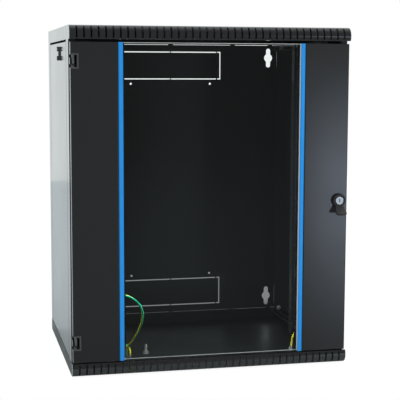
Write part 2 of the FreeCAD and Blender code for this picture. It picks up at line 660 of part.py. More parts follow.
def latch(name, side):
    lower = f"({LATCH_Z} - latch_pitch)"
    plate_span = outward(side, "0", "latch_plate")
    waist = box("latch_neck", plate_span,
                (f"{LATCH_Y} - latch_waist / 2", f"{LATCH_Y} + latch_waist / 2"), (lower, LATCH_Z))
    upper_round = cylinder("latch_upper_round", "X", (LATCH_Y, LATCH_Z), "latch_round", *plate_span)
    boss = cylinder("latch_boss", "X", (LATCH_Y, lower), "latch_round",
                    *outward(side, "0", "latch_plate + latch_knob"))
    bore = cylinder("latch_bore", "X", (LATCH_Y, LATCH_Z), "latch_shaft + 2 * shaft_room",
                    *outward(side, "-over", "latch_plate + over"))
    blank = fuse("latch_blank", [waist, upper_round, boss])
    finish(cut(f"{name}_latch_plate", blank, [bore]), f"{name}_latch_plate")
    head = cylinder("latch_head", "X", (LATCH_Y, LATCH_Z), "latch_round",
                    *outward(side, "latch_plate + nut_room", "latch_plate + latch_knob"))
    shaft = cylinder("latch_stem", "X", (LATCH_Y, LATCH_Z), "latch_shaft",
                     *outward(side, "-latch_reach", "latch_plate + nut_room"))
    head_end = "latch_plate + latch_knob"
    slot = box("coin_cut", outward(side, f"{head_end} - coin_depth", f"{head_end} + over"),
               (f"{LATCH_Y} - latch_round", f"{LATCH_Y} + latch_round"),
               (f"{LATCH_Z} - coin_slot / 2", f"{LATCH_Z} + coin_slot / 2"))
    finish(cut(f"{name}_latch_knob", fuse("latch_turned", [head, shaft]), [slot]), f"{name}_latch_knob")
    cam = box(f"{name}_latch_cam", outward(side, "-latch_reach - latch_cam", "-latch_reach"),
              (f"{LATCH_Y} - latch_cam_width / 2", f"{LATCH_Y} + latch_cam_length"),
              (f"{LATCH_Z} - latch_cam_width / 2", f"{LATCH_Z} + latch_cam_width / 2"))
    finish(cam, f"{name}_latch_cam")


for name, side in SIDES:
    side_panel(f"{name}_side_panel", side)
    latch(name, side)


# Door: two folded stiles, the glass bonded between them and the coloured trim strips

HINGE_X = f"(hinge_edge - {HALF})"
HINGE_Y = f"({DOOR_FRONT} + hinge_depth)"
HINGE_LEVELS = (("upper", f"({DOOR_HIGH} - hinge_inset)"), ("lower", f"({DOOR_LOW} + lower_hinge_inset)"))
LOCK_X = f"({HALF} - lock_edge)"


def stile(node, side):
    back_edge = f"({HALF} - door_back_inset)"
    wall = f"({GLASS_EDGE} + door_sheet)"
    lip = f"({back_edge} - door_lip)"
    face_back = f"({DOOR_FRONT} + door_sheet)"
    lip_front = f"({DOOR_BACK} - door_sheet)"
    section = [
        (back_edge, DOOR_BACK), (STILE_EDGE, DOOR_FRONT), (GLASS_EDGE, DOOR_FRONT),
        (GLASS_EDGE, FLANGE_FRONT), (FLANGE_EDGE, FLANGE_FRONT), (FLANGE_EDGE, FLANGE_BACK),
        (wall, FLANGE_BACK), (wall, face_back), (f"{STILE_EDGE} - door_sheet", face_back),
        (f"{back_edge} - door_sheet", lip_front), (lip, lip_front), (lip, DOOR_BACK),
    ]
    plug = [(back_edge, DOOR_BACK), (STILE_EDGE, DOOR_FRONT), (GLASS_EDGE, DOOR_FRONT),
            (GLASS_EDGE, DOOR_BACK)]
    body = new_body(node)
    turned = [(f"{side} * ({x})", y) for x, y in section]
    pad_outline(body, node + "_section", "XY", turned, DOOR_LOW, DOOR_HIGH)
    for end, low, high in (("foot", DOOR_LOW, f"{DOOR_LOW} + door_sheet"),
                           ("head", f"{DOOR_HIGH} - door_sheet", DOOR_HIGH)):
        closed = pad_outline(body, f"{node}_{end}", "XY", [(f"{side} * {x}", y) for x, y in plug], low, high)
    bends = [(f"{side} * {STILE_EDGE}", DOOR_FRONT), (f"{side} * {GLASS_EDGE}", DOOR_FRONT)]
    round_edges(body, node + "_bends", closed, upright_at(bends), "door_bend")
    return body


left_stile = stile("door_left_stile", -1)
windows = [rectangle(f"-{HALF}", f"-{HALF} + pocket_width",
                     f"{z} - pocket_height / 2", f"{z} + pocket_height / 2") for _, z in HINGE_LEVELS]
pocket(left_stile, "hinge_windows", "XZ", f"{DOOR_FRONT} - over", f"{DOOR_BACK} + over", windows)
right_stile = stile("door_right_stile", 1)
pocket(right_stile, "lock_hole", "XZ", f"{DOOR_FRONT} - over", f"{DOOR_FRONT} + door_sheet + over",
       circles=[(LOCK_X, "lock_height", "lock_barrel + 2 * nut_room")])

pane = box("door_glass", (f"-{GLASS_EDGE} + glass_room", f"{GLASS_EDGE} - glass_room"),
           (GLASS_FRONT, GLASS_BACK), (DOOR_LOW, DOOR_HIGH))
finish(pane, "door_glass")

TRIM_FACE = f"({DOOR_FRONT} - trim_proud)"


def on_trim_face(edge):
    """True for the two long front edges of a trim strip."""
    lies_in_front = abs(edge.BoundBox.YMax - value(TRIM_FACE)) < value("trim_round") / 10
    return lies_in_front and edge.BoundBox.ZLength > value("trim_width")


glass_tapes = []
for name, side in SIDES:
    tape = across(side, f"{GLASS_EDGE} - glass_room", FLANGE_EDGE)
    glass_tapes.append(box(f"{name}_tape", tape, (GLASS_BACK, FLANGE_FRONT), (DOOR_LOW, DOOR_HIGH)))
    trim = new_body(f"{name}_trim_strip")
    span = across(side, f"{GLASS_EDGE} - trim_width", GLASS_EDGE)
    outline = rectangle(*span, TRIM_FACE, GLASS_FRONT)
    bar = pad_outline(trim, f"{name}_trim_bar", "XY", outline, DOOR_LOW, DOOR_HIGH)
    round_edges(trim, f"{name}_trim_edge", bar, on_trim_face, "trim_round")
group("glass_tapes", glass_tapes)


# Hinges: a tongue on the post, a pocket in the stile and a lift pin through both

def hinge(name, z):
    wall = f"(-{HALF} + pocket_width)"
    inner = f"({wall} - door_sheet)"
    high, low = f"({z} + pocket_height / 2)", f"({z} - pocket_height / 2)"
    mouth = f"(-{STILE_EDGE})"
    section = [
        (mouth, high), (wall, high), (wall, low), (mouth, low), (mouth, f"{low} + door_sheet"),
        (inner, f"{low} + door_sheet"), (inner, f"{high} - door_sheet"), (mouth, f"{high} - door_sheet"),
    ]
    liner = loose_body(f"{name}_hinge_pocket")
    pad_outline(liner, f"{name}_hinge_liner", "XZ", section, DOOR_FRONT, f"{DOOR_BACK} - door_sheet")
    flat = f"(door_bend - {STILE_EDGE})"
    rim, top, foot = f"{wall} + pocket_flange", f"{high} + pocket_flange", f"{low} - pocket_flange"
    face = [
        (flat, top), (rim, top), (rim, foot), (flat, foot), (flat, f"{low} + door_sheet"),
        (inner, f"{low} + door_sheet"), (inner, f"{high} - door_sheet"), (flat, f"{high} - door_sheet"),
    ]
    pad_outline(liner, f"{name}_hinge_face", "XZ", face, f"{DOOR_FRONT} - pocket_face", DOOR_FRONT)
    bore = [(HINGE_X, HINGE_Y, "hinge_bore")]
    pocket(liner, f"{name}_hinge_hole", "XY", f"{low} - over", f"{high} + over", circles=bore)

    leaf_front = f"({POST_FRONT} - hinge_leaf)"
    left, right = f"({HINGE_X} - tongue_half)", f"({HINGE_X} + tongue_half)"
    slant = "(tongue_half / 2)"
    tongue_low = f"({z} - tongue_drop)"
    nose, shoulder = f"{HINGE_Y} - tongue_half", f"{HINGE_Y} - {slant}"
    plan = [
        (left, POST_FRONT), (left, shoulder), (f"{HINGE_X} - {slant}", nose),
        (f"{HINGE_X} + {slant}", nose), (right, shoulder), (right, POST_FRONT),
    ]
    leaf = loose_body(f"{name}_hinge_bracket")
    pad_outline(leaf, f"{name}_hinge_tongue", "XY", plan, tongue_low, f"{tongue_low} + tongue")
    pad_outline(leaf, f"{name}_hinge_leaf", "XZ",
                rectangle(left, right, f"{z} - hinge_leaf_height / 2", f"{z} + hinge_leaf_height / 2"),
                leaf_front, POST_FRONT)
    pad_outline(leaf, f"{name}_hinge_cheek", "XY",
                rectangle(f"{left} - cheek", left, f"{HINGE_Y} - cheek_reach", POST_FRONT),
                f"{z} - cheek_height / 2", f"{z} + cheek_height / 2")
    pocket(leaf, f"{name}_tongue_bore", "XY", f"{tongue_low} - over", f"{tongue_low} + tongue + over",
           circles=bore)

    rod = cylinder(f"{name}_pin_rod", "Z", (HINGE_X, HINGE_Y), "hinge_pin",
                   f"{z} - pin_below", f"{z} + pin_above")
    tab_low = f"({tongue_low} + tongue + pin_tab_gap)"
    tab = box(f"{name}_pin_tab", (f"{HINGE_X} - pin_tab / 2", f"{HINGE_X} + pin_tab / 2"),
              (f"{HINGE_Y} - pin_tab_reach", HINGE_Y), (tab_low, f"{tab_low} + pin_tab"))
    finish(fuse(f"{name}_hinge_pin", [rod, tab]), f"{name}_hinge_pin")
    return liner, leaf


hinges = [hinge(*level) for level in HINGE_LEVELS]
group("hinge_pockets", [liner for liner, _ in hinges])
group("hinge_brackets", [leaf for _, leaf in hinges])


# Lock: a fixed barrel in the right stile, a turning handle with its key plug, and the cam behind

CORNER_STEPS = 4


def lock_wing(front, back):
    """The lever of the handle: it leaves the disc below the key plug and sweeps down and outwards."""
    root, low = "(lock_height - wing_root)", "(lock_height - wing_drop)"
    tip_front, tip_back = f"({front} - wing_reach)", f"({front} - wing_reach + wing_tip)"
    tip_top = f"({low} + wing_lift)"
    wing = loose_body("lock_wing")
    heel = "(lock_height - wing_heel)"
    profile = [(front, root), (tip_front, tip_top), (tip_back, low), (back, heel), (back, root)]
    pad_outline(wing, "wing_blade", "YZ", profile, f"{LOCK_X} - wing_width / 2", f"{LOCK_X} + wing_width / 2")
    flares = []
    for side in (-1, 1):
        neck, tip = f"{LOCK_X} + {side} * wing_neck / 2", f"{LOCK_X} + {side} * wing_width / 2"
        beyond, below = f"{tip} + {side} * over", f"{low} - over"
        corner = []
        for step in range(CORNER_STEPS + 1):
            turn = math.pi / 2 * step / CORNER_STEPS
            inward, upward = round(1 - math.cos(turn), 4), round(1 - math.sin(turn), 4)
            corner.append((f"{tip} - {side} * wing_corner * {inward}", f"{low} + wing_corner * {upward}"))
        flares.append([(neck, root), *corner, (corner[-1][0], below), (beyond, below),
                       (beyond, f"{root} + over"), (neck, f"{root} + over")])
    pocket(wing, "wing_flare", "XZ", f"{tip_front} - over", f"{back} + over", flares)
    return wing


def lock():
    centre = (LOCK_X, "lock_height")
    flange_front = f"({DOOR_FRONT} - lock_flange_thick)"
    shaft_end = f"({flange_front} + lock_shaft_end)"
    sheet_back = f"({DOOR_FRONT} + door_sheet)"
    barrel_end = f"({DOOR_FRONT} + lock_barrel_length)"
    nut_back = f"({sheet_back} + lock_nut_thick)"
    flange = cylinder("lock_rim", "Y", centre, "lock_flange", flange_front, DOOR_FRONT)
    barrel = cylinder("lock_tube", "Y", centre, "lock_barrel", flange_front, barrel_end)
    bore = cylinder("lock_core", "Y", centre, "lock_bore", f"{flange_front} - over", f"{barrel_end} + over")
    finish(cut("lock_housing", fuse("lock_blank", [flange, barrel]), [bore]), "lock_housing")
    nut = hexagon("lock_nut_blank", "Y", centre, "lock_nut", sheet_back, nut_back)
    nut_bore = cylinder("lock_nut_bore", "Y", centre, "lock_barrel + 2 * nut_room",
                        f"{sheet_back} - over", f"{nut_back} + over")
    finish(cut("lock_nut", nut, [nut_bore]), "lock_nut")

    back = f"({flange_front} - handle_gap)"
    front = f"({back} - handle_length)"
    knob = loose_body("lock_knob")
    disc_sketch = pad_sketch(knob, "handle_disc_outline", "XZ", front, back)
    add_circle(disc_sketch, *centre, "handle")
    disc = pad(knob, "handle_disc", disc_sketch, front, back)
    face = value(front)
    round_edges(knob, "handle_rim", disc, lambda edge: near(edge.BoundBox.YMax, face), "handle_edge")
    shaft_sketch = pad_sketch(knob, "handle_shaft_outline", "XZ", back, shaft_end)
    add_circle(shaft_sketch, *centre, "lock_shaft")
    pad(knob, "handle_shaft", shaft_sketch, back, shaft_end)
    plug_hole = cylinder("plug_hole", "Y", centre, "plug_bore", f"{front} - over", f"{front} + plug_depth")
    blank = fuse("handle_blank", [knob, lock_wing(front, back)])
    finish(cut("lock_handle", blank, [plug_hole]), "lock_handle")

    plug_front = f"({front} - plug_proud)"
    plug = cylinder("plug_round", "Y", centre, "plug", plug_front, f"{front} + plug_depth - handle_gap")
    slit = box("plug_slit", (f"{LOCK_X} - key_slit / 2", f"{LOCK_X} + key_slit / 2"),
               (f"{plug_front} - over", f"{plug_front} + key_slit_depth"),
               ("lock_height - key_slit_length / 2", "lock_height + key_slit_length / 2"))
    finish(cut("key_plug", plug, [slit]), "key_plug")

    cam_back = f"({shaft_end} + cam_thick)"
    cam = box("lock_cam", (f"{LOCK_X} - cam_width / 2", f"{LOCK_X} + cam_width / 2"), (shaft_end, cam_back),
              ("lock_height - cam_width / 2", "lock_height + cam_length"))
    finish(cam, "lock_cam")
    screw = cylinder("cam_screw", "Y", centre, "cam_screw", cam_back, f"{cam_back} + cam_screw_thick")
    finish(screw, "cam_screw")


lock()

buffers = []
for level in (f"{DOOR_LOW} + buffer_inset", f"{DOOR_HIGH} - buffer_inset"):
    buffer_spot = (f"{HALF} - buffer_edge", level)
    buffer_front = f"{POST_FRONT} - buffer_height"
    buffers.append(cylinder("door_buffer", "Y", buffer_spot, "buffer", buffer_front, POST_FRONT))
group("door_buffers", buffers)


# Earth bonding: studs, crimped lugs and the three loose wires

FLOOR_STUDS = {
    "left": (f"(left_stud_edge - {HALF})", f"({FRONT} + left_stud_depth)"),
    "main": (f"(main_stud_edge - {HALF})", f"({FRONT} + main_stud_depth)"),
    "right": (f"({HALF} - right_stud_edge)", f"({FRONT} + right_stud_depth)"),
}
FLOOR_SEAT = "(sheet + washer_thick)"
FLOOR_STACK = {"left": "2 * lug_thick", "main": "0", "right": "lug_thick"}
DOOR_STUD_X = f"(-{STILE_EDGE} + door_stud_edge)"
DOOR_STUD_Y = f"({DOOR_FRONT} + door_sheet)"
DOOR_LUG_Y = f"({DOOR_STUD_Y} + door_lug_reach)"
PANEL_LUG_X = f"({HALF} - panel_sheet - panel_lug_reach)"

PANEL_STUD_Y = f"({FRONT} + panel_stud_depth)"


def routed(points, stud, offset, end):
    """A route from its floor stud to its moving end, drawn for the sizes above and moved to meet both."""
    x, y = (value(text) for text in FLOOR_STUDS[stud])
    start = FreeCAD.Vector(x + offset[0], y + offset[1], value("floor_wire_height"))
    first = start - FreeCAD.Vector(*points[0])
    last = FreeCAD.Vector(*(value(text) for text in end)) - FreeCAD.Vector(*points[-1])
    count = len(points) - 1
    moved = []
    for index, point in enumerate(points):
        share = index / count
        moved.append(FreeCAD.Vector(*point) + first * (1 - share) + last * share)
    return moved


DOOR_WIRE = routed([
    (-171.0, -112.0, 13.0), (-171.0, -112.0, 23.0), (-165.0, -117.5, 34.0), (-156.5, -131.0, 49.0),
    (-149.5, -146.0, 68.5), (-143.0, -157.5, 88.5), (-140.6, -167.0, 106.0), (-142.0, -174.5, 123.0),
    (-148.5, -180.0, 138.0), (-161.0, -186.5, 152.0), (-178.0, -195.5, 163.0), (-195.0, -205.5, 167.0),
    (-207.0, -205.5, 167.0),
], "left", (-5, -9), (f"{DOOR_STUD_X} + door_lug_run", f"{DOOR_LUG_Y} + lug_thick / 2", "door_stud_height"))
LEFT_WIRE = routed([
    (-159.5, -110.5, 13.0), (-159.5, -110.5, 21.0), (-162.5, -110.0, 29.5), (-170.5, -109.5, 37.0),
    (-183.0, -112.0, 45.0), (-201.0, -116.0, 53.5), (-224.0, -120.0, 62.0), (-250.0, -122.0, 68.0),
    (-272.0, -122.0, 68.0),
], "left", (6.5, -7.5), (f"panel_wire_edge - {HALF}", PANEL_STUD_Y, "panel_stud_height - panel_lug_drop"))
RIGHT_WIRE = routed([
    (214.0, -112.0, 13.0), (214.0, -112.0, 22.0), (214.8, -113.5, 33.0), (218.5, -116.0, 43.5),
    (226.5, -119.0, 53.5), (238.5, -121.0, 62.5), (254.0, -122.0, 68.0), (272.0, -122.0, 68.0),
], "right", (-2, -10), (f"{HALF} - panel_wire_edge", PANEL_STUD_Y, "panel_stud_height - panel_lug_drop"))


# Share of a straight run that each bend takes up
BEND_SHARE = 0.45
VOLUME_TOLERANCE = 0.01


def wire(node, route):
    """A tube along straight runs joined by arcs as large as the runs allow."""
    edges = []
    last = route[0]
    length = 0
    for before, here, after in zip(route, route[1:], route[2:]):
        back = (before - here).normalize()
        ahead = (after - here).normalize()
        run = BEND_SHARE * min((before - here).Length, (after - here).Length)
        half_turn = (math.pi - back.getAngle(ahead)) / 2
        radius = run / math.tan(half_turn)
        start, end = here + back * run, here + ahead * run
        middle = here + (back + ahead).normalize() * (radius / math.cos(half_turn) - radius)
        edges.append(Part.LineSegment(last, start).toShape())
        edges.append(Part.Arc(start, middle, end).toShape())
        length += (start - last).Length + radius * 2 * half_turn
        last = end
    edges.append(Part.LineSegment(last, route[-1]).toShape())
    length += (route[-1] - last).Length
    radius = value("wire") / 2
    ring = Part.Wire(Part.Circle(route[0], route[1] - route[0], radius).toShape())
    tube = Part.Wire(edges).makePipeShell([ring], True, True)
    expected = math.pi * radius ** 2 * length
    assert abs(tube.Volume / expected - 1) < VOLUME_TOLERANCE, (node, tube.Volume, expected)
    item = doc.addObject("Part::Feature", node)
    item.Shape = tube
    finish(item, node)


def lug(name, centre, axis, foot, tip):
    """A ring on a stud, a tongue out to foot and a crimp barrel from there to the wire's end."""
    middle, up = FreeCAD.Vector(*centre), FreeCAD.Vector(*axis)
    heel, toe = FreeCAD.Vector(*foot), FreeCAD.Vector(*tip)
    thick, width = value("lug_thick"), value("lug_barrel")
    ring = Part.makeCylinder(value("lug") / 2, thick, middle, up)
    bore = Part.makeCylinder(value("lug_hole") / 2, thick * 3, middle - up * thick, up)
    reach = heel - middle
    reach = reach - up * reach.dot(up)
    ahead = FreeCAD.Vector(reach).normalize()
    sideways = up.cross(ahead)
    tongue = Part.makeBox(reach.Length, width, thick)
    turn = FreeCAD.Rotation(ahead, sideways, up, "ZXY")
    tongue.Placement = FreeCAD.Placement(middle - sideways * (width / 2), turn)
    barrel = Part.makeCylinder(width / 2, (toe - heel).Length, heel, toe - heel)
    item = doc.addObject("Part::Feature", name)
    item.Shape = ring.fuse([tongue, barrel]).cut(bore).removeSplitter()
    return item


def floor_lug(stud, stack, route):
    x, y = (value(text) for text in FLOOR_STUDS[stud])
    z = value(f"{FLOOR_SEAT} + {stack} * lug_thick")
    end = route[0]
    return lug(f"{stud}_floor_lug", (x, y, z), (0, 0, 1), (end.x, end.y, z), end)


def floor_earth():
    studs, washers, nuts = [], [], []
    for name, spot_xy in FLOOR_STUDS.items():
        studs.append(cylinder("floor_stud", "Z", spot_xy, "stud", "sheet", "sheet + stud_length"))
        disc = cylinder("washer_disc", "Z", spot_xy, "washer", "sheet", FLOOR_SEAT)
        hole = cylinder("washer_hole", "Z", spot_xy, "bolt_hole", "0", f"{FLOOR_SEAT} + sheet")
        washers.append(cut("floor_washer", disc, [hole]))
        seat = f"({FLOOR_SEAT} + {FLOOR_STACK[name]})"
        nuts.append(ring_nut("floor_nut", "Z", spot_xy, seat, f"{seat} + nut_height"))
    group("floor_studs", studs)
    group("floor_washers", washers)
    group("floor_nuts", nuts)
    group("floor_lugs", [floor_lug("left", 0, DOOR_WIRE), floor_lug("left", 1, LEFT_WIRE),
                         floor_lug("right", 0, RIGHT_WIRE)])


def door_earth():
    centre = (DOOR_STUD_X, "door_stud_height")
    stud = cylinder("door_stud", "Y", centre, "stud", DOOR_STUD_Y, f"{DOOR_STUD_Y} + door_stud_length")
    finish(stud, "door_stud")
    seat = f"({DOOR_LUG_Y} + lug_thick)"
    finish(ring_nut("door_stud_nut", "Y", centre, seat, f"{seat} + nut_height"), "door_stud_nut")
    end = DOOR_WIRE[-1]
    middle = (value(DOOR_STUD_X), value(DOOR_LUG_Y), value("door_stud_height"))
    foot = (middle[0] + value("door_lug_tongue"), end.y, end.z)
    finish(lug("door_lug", middle, (0, 1, 0), foot, end), "door_lug")


def panel_earth(name, side, route):
    centre = (PANEL_STUD_Y, "panel_stud_height")
    span = outward(side, "-panel_sheet - panel_stud_length", "-panel_sheet")
    finish(cylinder(f"{name}_panel_stud", "X", centre, "stud", *span), f"{name}_panel_stud")
    seat = f"({PANEL_LUG_X} - lug_thick)"
    nut = across(side, seat, f"{seat} - nut_height")
    finish(ring_nut(f"{name}_panel_nut", "X", centre, *nut), f"{name}_panel_nut")
    middle = (side * value(PANEL_LUG_X), value(centre[0]), value(centre[1]))
    end = route[-1]
    foot = (side * value(f"{PANEL_LUG_X} - lug_thick / 2"), end.y, end.z)
    finish(lug(f"{name}_panel_lug", middle, (-side, 0, 0), foot, end), f"{name}_panel_lug")


floor_earth()
door_earth()
panel_earth("left", -1, LEFT_WIRE)
panel_earth("right", 1, RIGHT_WIRE)
wire("door_earth_wire", DOOR_WIRE)
wire("left_panel_wire", LEFT_WIRE)
wire("right_panel_wire", RIGHT_WIRE)


# Check and write

doc.recompute()
for item in doc.Objects:
    assert not {"Invalid", "Error"} & set(item.State), (item.Label, item.State)
for feature in cuts:
    assert feature.Shape.Volume < feature.BaseFeature.Shape.Volume - VOLUME_TOLERANCE, feature.Label
os.makedirs("parts", exist_ok=True)
for item in parts:
    shape = item.Shape
    assert not shape.isNull() and shape.isValid(), item.Label
    shape.exportStep(f"parts/{item.Label}.step")
print(len(parts), "nodes")
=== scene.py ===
# %% [markdown]
# # A wall-mount rack cabinet
# The solids come from the CAD model as a fixed frame: every folded sheet, bolt and lug is already in place. This
# lesson dresses that frame. It sets the camera, gives each finish its own node material, and models again the
# pieces that need rounder, finer forms than the solids have.

# %% Load the frame
import json
import math

import bmesh
import bpy
from mathutils import Matrix, Vector


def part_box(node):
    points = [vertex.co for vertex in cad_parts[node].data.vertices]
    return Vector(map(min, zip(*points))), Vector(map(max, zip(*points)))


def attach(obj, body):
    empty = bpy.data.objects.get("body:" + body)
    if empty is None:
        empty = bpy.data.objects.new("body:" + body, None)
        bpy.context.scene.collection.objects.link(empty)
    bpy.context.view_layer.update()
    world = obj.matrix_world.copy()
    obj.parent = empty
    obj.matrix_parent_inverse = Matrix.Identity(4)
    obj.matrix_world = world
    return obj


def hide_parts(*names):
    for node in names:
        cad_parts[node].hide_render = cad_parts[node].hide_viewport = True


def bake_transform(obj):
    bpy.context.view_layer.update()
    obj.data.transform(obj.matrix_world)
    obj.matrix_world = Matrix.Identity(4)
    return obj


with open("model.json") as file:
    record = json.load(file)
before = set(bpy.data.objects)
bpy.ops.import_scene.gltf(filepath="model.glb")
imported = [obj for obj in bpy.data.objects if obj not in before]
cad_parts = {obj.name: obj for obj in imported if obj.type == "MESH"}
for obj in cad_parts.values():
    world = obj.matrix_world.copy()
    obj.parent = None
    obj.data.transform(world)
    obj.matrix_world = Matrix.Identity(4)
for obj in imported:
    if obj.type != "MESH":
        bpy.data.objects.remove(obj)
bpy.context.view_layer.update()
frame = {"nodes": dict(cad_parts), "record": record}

slot_of_node = {part["node"]: part["material_slot"] for part in frame["record"]["subparts"]}

# %% [markdown]
# ## The camera
# The eye stands a little left of the cabinet and above its middle, so the left side shows as a narrow strip. A short
# lens from close by would splay the upright edges. A long lens from far away keeps them nearly upright, with the
# proportions that a product picture has.

# %% Place the camera
LENS = 100.17
EYE = (-0.545, -2.494, 0.641)
TURN = (83.30, -0.17, -12.82)
FARTHEST = 60


def put_in_scene(name, data):
    """Makes an object of new data and links it to the scene."""
    thing = bpy.data.objects.new(name, data)
    bpy.context.scene.collection.objects.link(thing)
    return thing


camera_data = bpy.data.cameras.new("camera")
camera_data.lens = LENS
camera_data.clip_end = FARTHEST
camera = put_in_scene("camera", camera_data)
camera.location = EYE
camera.rotation_euler = [math.radians(angle) for angle in TURN]
bpy.context.scene.camera = camera
bpy.context.scene.view_settings.view_transform = "Standard"
print("lens", camera_data.lens)

# %% [markdown]
# ## Helpers for finishes
# A material here is a Principled shader with a few textures on Object coordinates, in metres, so a grain of one
# millimetre is one millimetre on every piece. The nodes could be set out one by one. Helpers that add a node, fill
# its inputs and return its output keep every recipe short, and the surround of the studio can use them too.


# %% Node helpers
class Nodes:
    """A node tree under construction."""

    def __init__(self, tree):
        self.tree = tree

    def add(self, kind, **values):
        node = self.tree.nodes.new(kind)
        for name, setting in values.items():
            setattr(node, name, setting)
        return node

    def put(self, socket, source):
        """Wires another node's output to a socket, or sets a plain value on it."""
        if isinstance(source, bpy.types.NodeSocket):
            self.tree.links.new(source, socket)
        else:
            socket.default_value = source

    def fed(self, kind, *sources, **values):
        """Adds a node, fills its inputs in order and returns its first output."""
        node = self.add(kind, **values)
        for socket, source in zip(node.inputs, sources):
            self.put(socket, source)
        return node.outputs[0]

    def maths(self, operation, *sources):
        return self.fed("ShaderNodeMath", *sources, operation=operation)

    def axes(self, source):
        node = self.add("ShaderNodeSeparateXYZ")
        self.put(node.inputs["Vector"], source)
        return node.outputs

    def remap(self, source, span, result, curve="LINEAR"):
        """Takes one span of values to another."""
        node = self.add("ShaderNodeMapRange", interpolation_type=curve)
        names = ("Value", "From Min", "From Max", "To Min", "To Max")
        for name, value in zip(names, (source, *span, *result)):
            self.put(node.inputs[name], value)
        return node.outputs["Result"]


class Finish(Nodes):
    """A material round a Principled shader."""

    def __init__(self, name):
        self.material = bpy.data.materials.new(name)
        self.material.use_nodes = True
        super().__init__(self.material.node_tree)
        self.shader = self.tree.nodes["Principled BSDF"]
        self.place = self.add("ShaderNodeTexCoord").outputs["Object"]

    def noise(self, scale, detail=2.0, roughness=0.5, stretch=None):
        place = self.place
        if stretch:
            mapping = self.add("ShaderNodeMapping")
            self.put(mapping.inputs["Vector"], place)
            self.put(mapping.inputs["Scale"], stretch)
            place = mapping.outputs["Vector"]
        node = self.add("ShaderNodeTexNoise")
        names = ("Vector", "Scale", "Detail", "Roughness")
        for name, value in zip(names, (place, scale, detail, roughness)):
            self.put(node.inputs[name], value)
        return node.outputs["Fac"]

    def blend(self, factor, first, second):
        """Mixes two colours. The colour sockets of a Mix node are its inputs 6 and 7."""
        node = self.add("ShaderNodeMix", data_type="RGBA")
        for socket, source in ((0, factor), (6, (*first, 1)), (7, (*second, 1))):
            self.put(node.inputs[socket], source)
        return node.outputs[2]

    def bump(self, source, strength, depth):
        node = self.add("ShaderNodeBump")
        for name, value in (("Height", source), ("Strength", strength), ("Distance", depth)):
            self.put(node.inputs[name], value)
        self.set(Normal=node.outputs["Normal"])

    def set(self, **values):
        """Fills inputs of the shader, named with _ where the socket's name has a space."""
        for name, source in values.items():
            self.put(self.shader.inputs[name.replace("_", " ")], source)


print("helpers", Nodes.__name__, Finish.__name__)

# %% [markdown]
# ## Powder coat
# The whole case is baked powder coat: black, satin, with a fine orange-peel skin. Seen square on it is nearly black,
# and along the side it mirrors the bright room. A metal shader could shine as much, but it would do so from every
# side. A dielectric shader with a thin clear coat does both by itself, so only the skin, a slow change in gloss, fine
# rub marks and a trace of dust are drawn. The floor of the case is never wiped, so its paint is duller and mirrors
# the openings in the back only as a blur. Its colour is darker than the rest of the case as well: that is painted
# shade, for the dim inside of the case.

# %% The case's paint
MIDDLE = (0.3, 0.7)  # where most of a noise lies
FULL = (0, 1)


def powder_coat(name, base, dusty, rough, coat):
    paint = Finish(name)
    dust = paint.remap(paint.noise(160, 6, 0.7), (0.60, 0.82), (0.0, 0.5))
    slow = paint.remap(paint.noise(6, 3), MIDDLE, rough)
    rubs = paint.remap(paint.noise(60, 5, 0.6, stretch=(1, 1, 0.1)), (0.62, 0.8), (0.0, 0.05))
    paint.set(Base_Color=paint.blend(dust, base, dusty), Roughness=paint.maths("ADD", slow, rubs),
              IOR=1.5, Coat_Weight=coat, Coat_Roughness=0.08)
    paint.bump(paint.noise(700), 0.04, 0.0002)
    return paint.material


case_paint = powder_coat("black_powder_coat", (0.0205, 0.0215, 0.0225), (0.040, 0.041, 0.042),
                         rough=(0.12, 0.17), coat=0.3)
# The case's floor is a darker copy of the case paint: painted shade for the dim inside of the case.
floor_paint_painted_shade = powder_coat("dull_painted_shade_powder_coat", (0.014, 0.0147, 0.0154), (0.028, 0.0285, 0.029),
                          rough=(0.34, 0.42), coat=0.0)
print("made", case_paint.name, floor_paint_painted_shade.name)

# %% [markdown]
# ## Plastics and rubber
# The trim strips are glossy blue plastic with a pale flank, the lock is satin black nylon, the hinge pockets grey
# nylon and the side latches matt nylon. The flank's pale colour is a painted highlight, for the bright room that the
# flank mirrors. The door's buffers are rubber. Each could have a material of its own kind, but all are moulded: one
# recipe with a mottled colour and a fine skin covers them, and only its values change.


# %% Moulded finishes
def moulded(name, base, paler, rough, grain, shine=0.5):
    plastic = Finish(name)
    mottle = plastic.remap(plastic.noise(30, 4), (0.35, 0.75), FULL)
    plastic.set(Base_Color=plastic.blend(mottle, base, paler), Specular_IOR_Level=shine,
                Roughness=plastic.remap(plastic.noise(55, 3), MIDDLE, rough))
    plastic.bump(plastic.noise(grain), 0.08, 0.0003)
    return plastic.material


trim_plastic = moulded("blue_trim_plastic", (0.003, 0.26, 0.74), (0.005, 0.28, 0.78), (0.30, 0.38), 900)
# The flank's pale colour is a painted highlight: the bright room that the flank mirrors.
trim_flank_painted_highlight = moulded("painted_highlight_trim_flank", (0.84, 0.90, 0.93), (0.90, 0.94, 0.96), (0.30, 0.40), 900)
lock_nylon = moulded("black_nylon", (0.014, 0.014, 0.015), (0.021, 0.021, 0.022), (0.28, 0.38), 1500)
hinge_nylon = moulded("grey_nylon", (0.062, 0.065, 0.067), (0.075, 0.077, 0.079), (0.30, 0.42), 1500)
latch_nylon = moulded("matt_nylon", (0.050, 0.058, 0.060), (0.066, 0.074, 0.076), (0.70, 0.85), 1500,
                      shine=0.15)
seal_rubber = moulded("black_rubber", (0.014, 0.014, 0.014), (0.024, 0.023, 0.022), (0.62, 0.80), 700)
print("finishes so far", len(bpy.data.materials))

# %% [markdown]
# ## Metals
# The key plug is chrome, the hinge pins are grey zinc, and the fixings clear zinc with its cloudy shine. A plain
# metal shader would look like a clean mirror, so the plated recipe has clouds in its colour and in its roughness.
# Zinc has a milky film, so its metal is less bare.


